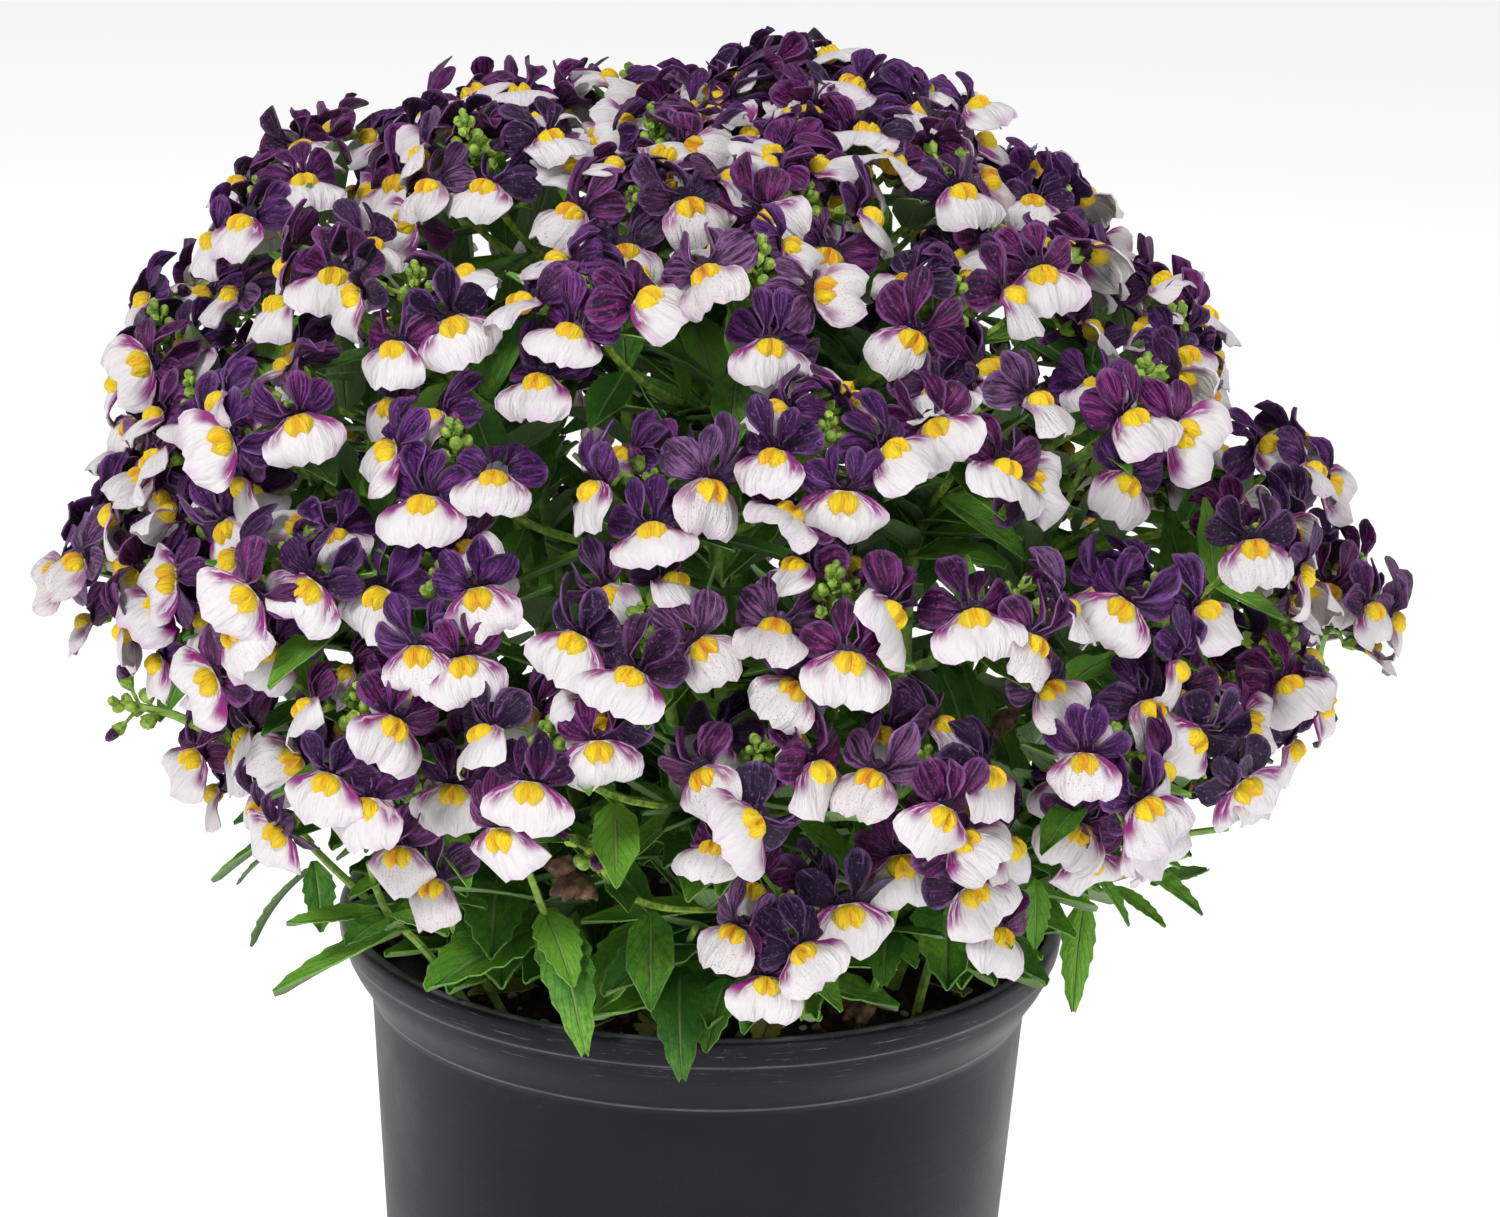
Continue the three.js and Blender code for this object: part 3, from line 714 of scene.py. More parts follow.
def frame_of(right, up, facing, origin, scale=1.0):
    """The matrix that puts a template's x, y and z on three directions at a point."""
    grid = Matrix.Identity(4)
    for column, direction in enumerate((right, up, facing)):
        for row in range(3):
            grid[row][column] = direction[row] * scale
    grid.translation = origin
    return grid


def between(start, end, thick):
    """The matrix that stretches a stick of length 1 along z from one point to another."""
    line = end - start
    side = line.orthogonal().normalized()
    other = line.normalized().cross(side)
    return frame_of(side * thick, other * thick, line, start)


# %% [markdown]
# ## One flower
# Seen from the front, a nemesia flower has two spoon-shaped lobes that stand up like ears, two round
# lobes that spread behind them, and one broad lip that starts narrow beside the palate and widens
# like a skirt. The palate is one yellow mound with a groove down its middle. The templates are small,
# 124 faces for a lip, because six hundred flowers stand on one pot. Three ears, three side lobes and
# four lips are made, so that neighbours differ before they are even turned. Behind the throat come a
# short tube, a toothed calyx and a thin stalk.

# %% The lobes, the lip and the palate
EAR_ROWS = [(0.0, 0.0, 0.8), (2.6, 0.6, 0.8), (4.7, 0.8, 1.8), (7.0, 0.4, 3.0), (9.2, -0.4, 3.3),
            (11.0, -1.3, 2.4)]
SIDE_ROWS = [(0.0, 0.0, 1.3), (2.4, 0.6, 3.1), (4.8, 0.6, 4.5), (7.0, -0.1, 4.7), (8.7, -0.9, 3.6)]
LIP_ROWS = [(0.3, 0.3, 3.0), (-1.2, 1.6, 5.2), (-2.5, 2.8, 8.2), (-4.1, 3.8, 9.9), (-5.9, 4.4, 10.2),
            (-7.8, 4.6, 9.6), (-9.3, 4.3, 7.9)]
EAR_WAVES = [(0.4, 1.6, 0.0), (0.9, 2.1, 1.1), (0.7, 2.8, 4.0)]
EAR_CUPS = (0.9, 1.8, 2.7)
SIDE_WAVES = [(0.7, 2.2, 0.4), (1.1, 1.7, 2.6), (0.9, 3.0, 5.0)]
LIP_WAVES = [(1.4, 3.4, 0.2), (1.8, 2.7, 1.9), (1.5, 4.1, 3.1), (1.7, 3.6, 4.6)]
PALATE_HALVES, PALATE_MIDDLE, PALATE_UV = (3.5, 2.5, 2.6), (0, -1.7, 1.9), (6.6, -5.0)


def ruffle(rows, columns, bow, depth, waves, phase, notch=0.0, scallop=0.0):
    """Moves for a sheet's points: the far rows bow out, the rim waves, the tip is notched."""
    moves = []
    for row in range(1, len(rows)):
        far = row / (len(rows) - 1)
        for column in range(columns + 1):
            share = 2 * column / columns - 1
            rim = max(far ** 3, share * share * far)
            along = share * (2.5 - 1.5 * far)
            y = bow * (1 - share * share) * far ** 2 - notch * max(0.0, 1 - 3 * abs(share)) * far ** 4
            y += scallop * (-1) ** column * far ** 6
            moves.append((row, column, y, depth * rim * math.sin(waves * along + phase)))
    return moves


def add_sphere(name, segments, rings, size, place=(0, 0, 0)):
    """A sphere scaled into an ellipsoid, its poles along y."""
    bpy.ops.mesh.primitive_uv_sphere_add(segments=segments, ring_count=rings, radius=1)
    ball = bpy.context.object
    ball.name = name
    with editing():
        bpy.ops.transform.rotate(value=math.pi / 2, orient_axis="X", center_override=(0, 0, 0))
        bpy.ops.transform.resize(value=size, center_override=(0, 0, 0))
        bpy.ops.transform.translate(value=place)
    return ball


def palate_template():
    """A yellow mound with a groove down its middle; U is counted from 4 at the groove."""
    mound = add_sphere("palate", 12, 6, PALATE_HALVES, PALATE_MIDDLE)
    points = [(p.index, p.co.copy()) for p in mound.data.vertices if p.co.z > 2.0]
    groove = [index for index, place in points if abs(place.x) < 0.5]
    mouth = [index for index, place in points if abs(place.x) < 0.5 and place.y > -1.5]
    crests = [index for index, place in points if 0.8 < abs(place.x) < 2.2]
    with editing():
        for wanted, y, z in ((groove, 0, -0.95), (mouth, -0.9, -0.3), (crests, -0.2, 0.35)):
            pick_points(mound, wanted)
            bpy.ops.transform.translate(value=(0, y, z))
    points, corners, sizes, _ = keep_template(mound)
    return points, corners, sizes, points[corners, :2] / PALATE_UV + np.array([PALATE_U, 0.0])


EARS = [keep_template(shape_sheet("ear", 4, EAR_ROWS, cup, ruffle(EAR_ROWS, 4, 1.3, *wave)))
        for cup, wave in zip(EAR_CUPS, EAR_WAVES)]
SIDES = [keep_template(shape_sheet("side_lobe", 4, SIDE_ROWS, 0.8, ruffle(SIDE_ROWS, 4, 1.4, *wave)))
         for wave in SIDE_WAVES]
LIPS = [keep_template(shape_sheet("lip", 8, LIP_ROWS, -2.0, ruffle(LIP_ROWS, 8, -1.1, *wave, -0.8, 0.3)))
        for wave in LIP_WAVES]
PALATE = palate_template()
print("faces: ear", len(EARS[0][2]), "side", len(SIDES[0][2]), "lip", len(LIPS[0][2]),
      "palate", len(PALATE[2]))

# %% The tube, the calyx, a bud and a stick


def cone_template(name, sides, low, high, depth, lift=0.0):
    """A blunt cone along z whose foot stands at the origin; a lift raises every other top point."""
    bpy.ops.mesh.primitive_cone_add(vertices=sides, radius1=low, radius2=high, depth=depth,
                                    location=(0, 0, 0))
    cone = bpy.context.object
    cone.name = name
    teeth = [p.index for p in cone.data.vertices if p.index % 4 == 1]
    with editing():
        bpy.ops.transform.translate(value=(0, 0, depth / 2))
        if lift:
            pick_points(cone, teeth)
            bpy.ops.transform.translate(value=(0, 0, lift))
    return keep_template(cone)


TUBE = moved_uv(cone_template("tube", 7, 1.1, 2.9, 4.2), 0.45, 0.05, 0.1)
CALYX = cone_template("calyx", 10, 0.9, 2.1, 2.3, 1.3)
STICK = cone_template("stick", 5, 1.0, 0.85, 1.0)
BUD_BALL = keep_template(add_sphere("bud", 7, 5, (1.0, 1.25, 1.0)))
OPENING_BUD = keep_template(add_sphere("opening_bud", 7, 6, (1.5, 2.9, 1.9)))
print("faces: tube", len(TUBE[2]), "calyx", len(CALYX[2]), "bud", len(BUD_BALL[2]))

# %% [markdown]
# ## Flowers on their heads
# A head is the top of a flowering shoot: open flowers on thin stalks around it, a knot of round green
# buds in the middle, and one bud that already shows violet. Three or four flowers stand where the
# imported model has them, and about three more fill the gaps. Every flower gets its own size, nod,
# splay and tone. An older flower is paler and has dark specks on its lip.

# %% One flower, added to the heaps
PEDICEL = 0.5
FEET = dict(ear=(1.0, 1.0, -0.2), lobe=(1.5, 0.4, -0.9), tube=(0, 0.2, -4.1), calyx=(0, 0.2, -5.4),
            stalk=(0, 0.2, -5.0))
RANGES = dict(
    tone=(-0.2, 0.2), splay=(8, 26), lean=(-12, 30), nod=(-22, 16), swing=(-7, 7),
    ear_side=(-8, 8), ear_back=(-12, 12), ear_twist=(-25, 60), ear_size=(0.74, 1.0),
    lobe_side=(50, 82), lobe_back=(-4, 34), lobe_twist=(-20, 25), lobe_size=(0.8, 1.0),
)
variation = random.Random(5)


def vary(name):
    """A number from one of the ranges."""
    return variation.uniform(*RANGES[name])


def flower_frame(facing, roll):
    """The directions of a flower: right, up and out of the throat."""
    z = facing.normalized()
    y = UP - z * UP.dot(z)
    if y.length < 0.2:
        y = Vector((0, 1, 0)) - z * z.y
    y = turned(y.normalized(), z, roll)
    return y.cross(z), y, z


def turn_about(axis, degrees):
    """A 4 x 4 rotation."""
    return Matrix.Rotation(math.radians(degrees), 4, axis)


def lobe_place(ground, side, kind, splay, lean):
    """Where an ear or a side lobe stands: tipped sideways and back, twisted and scaled."""
    x, y, z = FEET[kind]
    return (ground @ Matrix.Translation((x * side, y, z)) @ turn_about("Z", splay)
            @ turn_about("X", lean) @ turn_about("Y", side * vary(kind + "_twist"))
            @ Matrix.Scale(vary(kind + "_size"), 4))


def add_flower(heaps, throat, facing, roll, root, size, tone, age):
    """Ears, side lobes, lip, palate, tube, calyx and stalk of one flower."""
    hoods, lips, greens = heaps["hoods"], heaps["lips"], heaps["greens"]
    right, up, out = flower_frame(facing, roll)
    ground = frame_of(right, up, out, throat, size)
    mood = (min(max(tone + vary("tone"), 0), 1), age)
    splay = vary("splay")
    lean = vary("lean") + 14 * age
    for side in (-1, 1):
        ear = lobe_place(ground, side, "ear", -side * splay + vary("ear_side"),
                         -lean + vary("ear_back"))
        hoods.add(variation.choice(EARS), ear, mood)
        lobe = lobe_place(ground, side, "lobe", -side * vary("lobe_side"), -vary("lobe_back"))
        hoods.add(variation.choice(SIDES), lobe, mood)
    hoods.add(TUBE, ground @ Matrix.Translation(FEET["tube"]), (0.0, age))
    nod = ground @ turn_about("X", vary("nod")) @ turn_about("Z", vary("swing"))
    narrow = Matrix.Diagonal((1 - 0.25 * age, 1, 1 + 0.2 * age, 1))
    lips.add(variation.choice(LIPS), nod @ narrow, mood)
    lips.add(PALATE, nod, mood)
    greens.add(CALYX, ground @ Matrix.Translation(FEET["calyx"]))
    back = ground @ Vector(FEET["stalk"])
    bend = root.lerp(back, 0.6) + UP * 1.2
    greens.add(STICK, between(root, bend, PEDICEL))
    greens.add(STICK, between(bend, back, PEDICEL))


# %% The buds of a head
BUD_CROWNS = ((9, 7.0, 3.2), (10, 8.0, 3.4), (13, 11.0, 4.2), (17, 14.0, 5.0))
GOLDEN_TURN = 137.5
BUD_STALK = 0.4


def add_buds(heaps, head, count, tall, wide):
    """Round buds in a spiral around the tip of the shoot, smaller towards the top."""
    side = head["axis"].orthogonal().normalized()
    for number in range(count):
        share = number / count
        out = turned(side, head["axis"], GOLDEN_TURN * number)
        middle = head["at"] + head["axis"] * (tall * share - 1.5) + out * (wide * (1.05 - share))
        middle += out * variation.uniform(-0.3, 0.5)
        size = 1.75 - 0.9 * share + variation.uniform(-0.25, 0.2)
        along = (head["axis"] + out * (0.9 - 0.7 * share)).normalized()
        right = along.orthogonal().normalized()
        heaps["greens"].add(BUD_BALL, frame_of(right, along, right.cross(along), middle, size))
        if number % 2 == 0:
            cup = middle - along * (size * 1.25)
            heaps["greens"].add(CALYX, frame_of(right, -right.cross(along), along, cup, size * 0.52))
        low = head["at"] + head["axis"] * (tall * share - 3.5)
        heaps["greens"].add(STICK, between(low, middle, BUD_STALK))


def add_opening_bud(heaps, head, turn, tone):
    """A long bud that already shows violet, in its green cup."""
    out = turned(head["out"], head["axis"], turn)
    along = (out + head["axis"] * 0.6).normalized()
    right = along.orthogonal().normalized()
    middle = head["at"] + out * 7.0 + head["axis"] * 4.5
    size = variation.uniform(0.85, 1.15)
    heaps["hoods"].add(OPENING_BUD, frame_of(right, along, right.cross(along), middle, size), (tone, 0.2))
    cup = middle - along * 3.4
    heaps["greens"].add(CALYX, frame_of(right, -right.cross(along), along, cup, size * 0.9))
    heaps["greens"].add(STICK, between(head["at"] + head["axis"], cup, PEDICEL))


# %% [markdown]
# ## Stems
# Every stem is a spline of one curve object with a round bevel, which is then made a mesh. A curve
# needs only a few points for a natural bend, and its radius can taper from point to point.

# %% Tubes from curves
STALK_THICK, STALK_THIN = 1.05, 0.7


def grow_tubes(name, paths, thick, thin, sides=3):
    """Tapering stems along paths in millimetres, as one closed mesh."""
    curve = bpy.data.curves.new(name, "CURVE")
    curve.dimensions = "3D"
    curve.bevel_depth = MM
    curve.bevel_resolution = sides - 2
    curve.resolution_u = 3
    curve.use_fill_caps = True
    for path in paths:
        spline = curve.splines.new("NURBS")
        spline.points.add(len(path) - 1)
        for number, (point, place) in enumerate(zip(spline.points, path)):
            point.co = (*(Vector(place) * MM), 1.0)
            point.radius = thick + (thin - thick) * number / (len(path) - 1)
        spline.order_u = 3
        spline.use_endpoint_u = True
    pick(new_object(name, curve))
    bpy.ops.object.convert(target="MESH")
    with editing():
        close_up(1e-6)
    return bpy.context.object


# %% [markdown]
# ## Sprays
# A spray is the top of one shoot. Its heads are grown one after another into shared heaps, so that
# it comes out as three pieces: the violet lobes, the white lips, and everything green. Each head
# has flowers at its sides, a few more at the back, and one below that hides the stalks. The heads
# near the top of the mound get three more, because they are seen from above.

# %% The sprays
SIDE_RISE = {0: -3.0, 1: 3.0, 2: 3.0, 4: 3.0}
EXTRA_SIDES, EXTRA_CHANCE = (2, 3), 0.8
EXTRA = dict(wander=12, reach=(8, 11), rise=(2, 7), scale=0.9)
CROWN_LIFT, CROWN_TURNS = 50, (125, 180, 235)
CROWN = dict(wander=12, reach=(16, 21), rise=(-1, 4), scale=1.0)
LOWER_TURNS = (-36, 36)
LOWER = dict(wander=14, reach=(10, 16), rise=(-16, -8), scale=0.95)
AGES = (0.0, 0.1, 0.2, 0.3, 0.3, 0.4, 0.5, 0.6, 0.8, 1.0)
ROLLS = (-48, -30, -18, -10, -4, 3, 9, 16, 28, 46)
FACE_OUT, FACE_SPREAD, UPWARD_SHARE = 0.62, 0.38, 0.55
BARE_BUDS, BARE_TURNS = (7, 8.0, 3.0), (20, 140, 260)


def face_of(out, normal):
    """Where a flower looks: outwards, a little up, and a little its own way."""
    facing = (out * FACE_OUT + normal * 0.7).normalized()
    facing.z *= UPWARD_SHARE if facing.z > 0 else 1.0
    own = Vector([variation.uniform(-FACE_SPREAD, FACE_SPREAD) for _ in range(3)])
    return facing.normalized() + own


def extra_place(head, turn, wander, reach, rise, scale):
    """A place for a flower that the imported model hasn't."""
    out = turned(head["out"], head["axis"], turn + variation.uniform(-wander, wander))
    return out, variation.uniform(*reach), variation.uniform(*rise), scale


def head_places(tier, head):
    """The directions, reaches, rises and scales of a head's flowers."""
    places = []
    for side in SIDES_BY_COUNT[tier["blooms"]]:
        out = turned(head["out"], head["axis"], 72 * side + JITTER["face"] * draw())
        places.append((out, THROAT_OUT, SIDE_RISE[side] + variation.uniform(-4, 4), 1.0))
    for side in EXTRA_SIDES:
        if variation.random() < EXTRA_CHANCE:
            places.append(extra_place(head, 72 * side, **EXTRA))
    if tier["lift"] > CROWN_LIFT:
        places += [extra_place(head, turn, **CROWN) for turn in CROWN_TURNS]
    return places + [extra_place(head, variation.choice(LOWER_TURNS), **LOWER)]


def grow_head(heaps, plan, head, bare):
    """The flowers and buds of one head; returns how many flowers it has."""
    tone = variation.uniform(0.1, 0.9)
    if bare:
        add_buds(heaps, head, *BARE_BUDS)
        for turn in BARE_TURNS:
            add_opening_bud(heaps, head, turn, tone)
        return 0
    places = head_places(plan["tier"], head)
    for out, reach, rise, scale in places:
        throat = head["at"] + out * reach + head["axis"] * rise
        roll = head["roll"] + variation.choice(ROLLS) + variation.uniform(-6, 6)
        root = head["at"] + head["axis"] * (rise * 0.4 - 3)
        add_flower(heaps, throat, face_of(out, head["normal"]), roll, root,
                   scale * variation.uniform(0.9, 1.06), tone, variation.choice(AGES))
    add_buds(heaps, head, *variation.choice(BUD_CROWNS))
    add_opening_bud(heaps, head, variation.uniform(90, 270), tone)
    return len(places)


def stalk_paths(plan):
    """From the foot of the spray over the fork to the middle of each head."""
    start = plan["foot"] + plan["down"] * 1.0
    paths = []
    for head in plan["heads"]:
        low = head["at"] - head["axis"] * 16
        paths.append([start, plan["fork"] + plan["down"] * 4, low.lerp(plan["fork"], 0.3),
                      head["at"] - head["axis"] * 4, head["at"] + head["axis"] * 4])
    return paths


def grow_spray(plan):
    """One spray as three pieces: violet lobes, white lips and everything green."""
    heaps = {kind: Heap() for kind in ("hoods", "lips", "greens")}
    name = plan["name"]
    bare = BUD_SHOOTS.get(name, [])
    flowers = sum(grow_head(heaps, plan, head, number in bare)
                  for number, head in enumerate(plan["heads"]))
    finish_piece(heaps["hoods"].make(name + ".hoods"), HOOD, [name])
    finish_piece(heaps["lips"].make(name + ".lips"), LIP, [name])
    greens = heaps["greens"].make(name + ".greens")
    stalks = grow_tubes(name + ".stalks", stalk_paths(plan), STALK_THICK, STALK_THIN)
    pick(greens, stalks)
    bpy.ops.object.join()
    finish_piece(greens, BUD, [name])
    return flowers


flower_total = sum(grow_spray(plan) for plan in all_plans)
print(flower_total, "flowers,", sum(face_total.values()), "triangles so far")

# %% [markdown]
# ## Leaves
# Nemesia leaves stand in pairs, lance-shaped, with a few blunt teeth along each edge and a sunken
# midrib. The rows of the grid are widened and narrowed in turn, which makes the teeth, and the middle
# column is pressed down for the midrib. Three blades are made: one nearly flat, one that arches and
# one that hangs over the rim. Smaller ones with fewer faces serve up the stems and on the stalks.

# %% Three blades
LEAF_LENGTH, LEAF_WIDTH = 40.0, 17.0
LEAF_SHARES = [0.0, 0.1, 0.22, 0.35, 0.5, 0.65, 0.8, 0.92, 1.0]
LEAF_HALVES = [0.2, 0.52, 0.84, 1.0, 0.97, 0.82, 0.58, 0.36, 0.12]
LEAF_ROWS, LEAF_SKIN = 13, 0.45
TOOTH_WIDE, TOOTH_FORWARD = 0.09, 1.1
CUP_BY_ARCH = {0.12: 1.6, 0.3: 1.0, 0.55: -1.2}
SMALL_ARCHES = (0.12, 0.3)


def leaf_template(arch, cup, columns=8, count=LEAF_ROWS, groove=-0.9):
    """A toothed blade that starts at the origin and runs along y; its underside has U moved on."""
    rows = []
    for number in range(count + 1):
        share = number / count
        half = float(np.interp(share, LEAF_SHARES, LEAF_HALVES)) * LEAF_WIDTH / 2
        half *= 1 + (TOOTH_WIDE if number % 2 else -TOOTH_WIDE * 0.6) * (0 < number < count)
        rows.append((share * LEAF_LENGTH, -arch * LEAF_LENGTH * share * share, half))
    edge = [(number, columns // 2, 0.0, groove) for number in range(1, count)]
    edge += [(number, column, TOOTH_FORWARD, 0.0)
             for number in range(1, count, 2) for column in (0, columns)]
    blade = shape_sheet("leaf", columns, rows, cup, edge, LEAF_SKIN)
    points, corners, sizes, flat = keep_template(blade)
    face = np.repeat(np.arange(len(sizes)), sizes)
    upper = count * columns
    flat[(face >= upper) & (face < 2 * upper), 0] += BENEATH_U
    return points, corners, sizes, flat


BLADES = {arch: leaf_template(arch, cup) for arch, cup in CUP_BY_ARCH.items()}
SMALL_BLADES = {arch: leaf_template(arch, CUP_BY_ARCH[arch], 4, 7) for arch in SMALL_ARCHES}
BRACTS = {arch: leaf_template(arch, 1.2, 2, 5, -1.4) for arch in SMALL_ARCHES}
print("faces of a leaf:", len(BLADES[0.3][2]), "and of a small one", len(SMALL_BLADES[0.3][2]))


def add_leaf(heap, root, tip, width, arch, roll=0.0, age=0.0, blades=BLADES):
    """A blade from its root to its tip; the arch bends it down between them."""
    chord = tip - root
    line = chord.normalized()
    side = line.cross(UP)
    side = side.normalized() if side.length > 0.05 else Vector((1, 0, 0))
    side = turned(side, line, roll)
    face = side.cross(line)
    tilt = math.atan(arch)
    along = line * math.cos(tilt) + face * math.sin(tilt)
    scale = chord.length * math.cos(tilt) / LEAF_LENGTH
    wide = width / LEAF_WIDTH
    grid = frame_of(side * wide, along * scale, side.cross(along) * scale, root)
    heap.add(blades[arch], grid, (variation.uniform(0, 1), age))


# %% [markdown]
# ## Leafy stems
# Each stem rises straight out of the soil, turns outwards and carries one spray. The stems that share
# a hole are a bush. The tables hold where the bushes leave the soil, which rings of sprays they
# carry, and their largest leaves: root, turn, dip and length. Small leaves are then added in pairs
# up the stems, as on the real shoots.

# %% The tables of the bushes
BUSH_ROWS = [
    ((1, 4), [(3.5, -49.9), (44.9, -21.9), (41.5, 28.0), (-3.5, 49.9), (-47.3, 16.3), (-41.5, -28.0)]),
    ((2, 3), [(5.5, -37.6), (27.2, -26.5), (36.8, 9.3), (15.7, 34.6), (-17.3, 33.9), (-37.2, 7.6),
              (-21.9, -31.1)]),
    ((5,), [(6.7, -25.1), (26.0, -1.4), (9.3, 24.3), (-20.2, 16.4), (-21.8, -14.2)]),
    ((6,), [(7.0, -12.1), (7.0, 12.1), (-14.0, 0.0)]),
    ((7,), [(0.0, -3.0)]),
]
BUSHES = [(base, [f"spray_{tier}_{number}" for tier in tiers])
          for tiers, bases in BUSH_ROWS for number, base in enumerate(bases, start=1)]
LEAVES = {
    1: [(5, -53, 161, -113, 24, 40), (6, -54, 162, -62, 24, 46), (10, -62, 172, -144, 6, 41),
        (10, -63, 174, -11, -2, 35)],
    2: [(49, -23, 162, -46, 16, 43), (50, -24, 164, 6, 16, 38), (61, -28, 181, -94, -8, 36),
        (63, -29, 183, 31, -8, 42)],
    3: [(46, 30, 164, 9, 16, 43), (47, 31, 166, 73, 10, 42), (52, 34, 176, -31, -8, 34),
        (54, 34, 179, 105, -8, 40)],
    4: [(-3, 52, 161, 83, 16, 44), (-2, 53, 164, 143, 16, 44), (1, 61, 183, 32, -8, 42),
        (1, 62, 186, 159, -8, 35)],
    5: [(-48, 18, 161, 142, 16, 39), (-48, 19, 164, 206, 16, 41), (-50, 25, 179, 102, -8, 34),
        (-50, 26, 181, 215, -2, 36)],
    6: [(-42, -30, 160, -179, 24, 42), (-43, -31, 163, -108, 16, 41), (-47, -37, 180, -201, -8, 38),
        (-48, -38, 182, -83, -2, 42)],
    7: [(6, -67, 189, -136, -8, 37), (15, -76, 233, -34, 10, 29)],
    8: [(55, -43, 186, -91, -8, 35), (58, -46, 190, 13, -8, 33), (70, -37, 227, 24, 10, 30)],
    9: [(68, 15, 187, -38, -8, 32), (72, 16, 192, 69, -8, 33), (72, 32, 228, 76, 10, 33)],
    10: [(29, 60, 187, 7, -8, 37), (31, 64, 191, 114, -8, 32), (20, 78, 227, 128, 10, 36)],
    11: [(-28, 62, 193, 62, -8, 35), (-30, 65, 198, 173, -8, 31), (-46, 62, 231, 170, 10, 31)],
    12: [(-60, 12, 187, 108, -8, 32), (-64, 12, 192, 232, -8, 36), (-78, 1, 232, 223, 10, 30)],
    13: [(-46, -45, 191, -89, -8, 35), (-52, -60, 234, -79, 10, 31)],
}
STEM_THICK, STEM_THIN = 1.7, 1.25
STEM_PART, STALK_PART = (0.22, 0.99), (0.15, 0.72)
PAIRS, PAIRS_TALL, TALL_SPRAY, STALK_PAIRS = 8, 10, 300, 4
STEM_LEAF, BRACT = (24, 40), (18, 30)
RIM_INSIDE, OVER_RIM = 72.0, 172.0
plan_of = {plan["name"]: plan for plan in all_plans}


def stem_path(base, plan):
    """Out of the hole, past the crown, to the foot of the spray."""
    low = Vector((*base, SOIL_TOP - 4))
    crown = Vector((*base, SOIL_TOP + 3))
    return [low, crown, crown.lerp(plan["foot"], 0.35) + UP * 2, plan["foot"] + plan["down"] * 10,
            plan["foot"] + plan["down"] * 0.6, plan["foot"] - plan["down"] * 2.5]


def add_small_pairs(heap, path, part, pairs, lengths, blades):
    """Pairs of small leaves up a part of a stem, each pair a quarter turn from the one below."""
    first, last = part
    for number in range(pairs):
        share = first + (last - first) * (number + 0.5) / pairs + variation.uniform(-0.03, 0.03)
        place = share * (len(path) - 1)
        knot = min(int(place), len(path) - 2)
        root = path[knot].lerp(path[knot + 1], place - knot)
        line = (path[knot + 1] - path[knot]).normalized()
        side = line.orthogonal().normalized()
        start = 90 * number + variation.uniform(-30, 30)
        length = variation.uniform(*lengths) * (1.15 - 0.4 * share)
        for half in (0, 180):
            out = turned(side, line, start + half)
            tip = root + (out + line * 0.55).normalized() * length
            if math.hypot(tip.x, tip.y) > RIM_INSIDE:
                tip.z = max(tip.z, OVER_RIM)  # clear of the pot's wall
            arch = variation.choice((*SMALL_ARCHES, SMALL_ARCHES[-1]))
            add_leaf(heap, root, tip, length * 0.38, arch, variation.uniform(-12, 12), 0.0, blades)


def grow_bush(number, base, names):
    """The stems of one bush as one piece and its leaves as another."""
    node = f"leafy_stem_{number}"
    paths = [stem_path(base, plan_of[name]) for name in names]
    finish_piece(grow_tubes(node + ".stems", paths, STEM_THICK, STEM_THIN, 4), STEM, [node])
    heap = Heap()
    for x, y, z, turn, dip, length in LEAVES.get(number, []):
        root = Vector((x, y, z))
        tip = root + polar(length * math.cos(math.radians(dip)), turn,
                           length * math.sin(math.radians(dip)) - 0.16 * length)
        add_leaf(heap, root, tip, length * 0.44, 0.12, variation.uniform(-8, 8))
    for path, name in zip(paths, names):
        pairs = PAIRS if plan_of[name]["tier"]["z"] < TALL_SPRAY else PAIRS_TALL
        add_small_pairs(heap, path, STEM_PART, pairs, STEM_LEAF, SMALL_BLADES)
        for stalk in stalk_paths(plan_of[name]):
            add_small_pairs(heap, stalk, STALK_PART, STALK_PAIRS, BRACT, BRACTS)
    finish_piece(heap.make(node + ".leaves"), LEAF, [node])


for number, (base, names) in enumerate(BUSHES, start=1):
    grow_bush(number, base, names)
print("leafy stems done,", sum(face_total.values()), "triangles so far")

# %% [markdown]
# ## Leaves at the rim
# The shoots at the foot of the mound lie over the rim of the pot, and they are what one sees first
# below the flowers. These leaves are placed one by one: root, tip, width and bend. Two young sprigs
# of buds stick out at the left and the right.

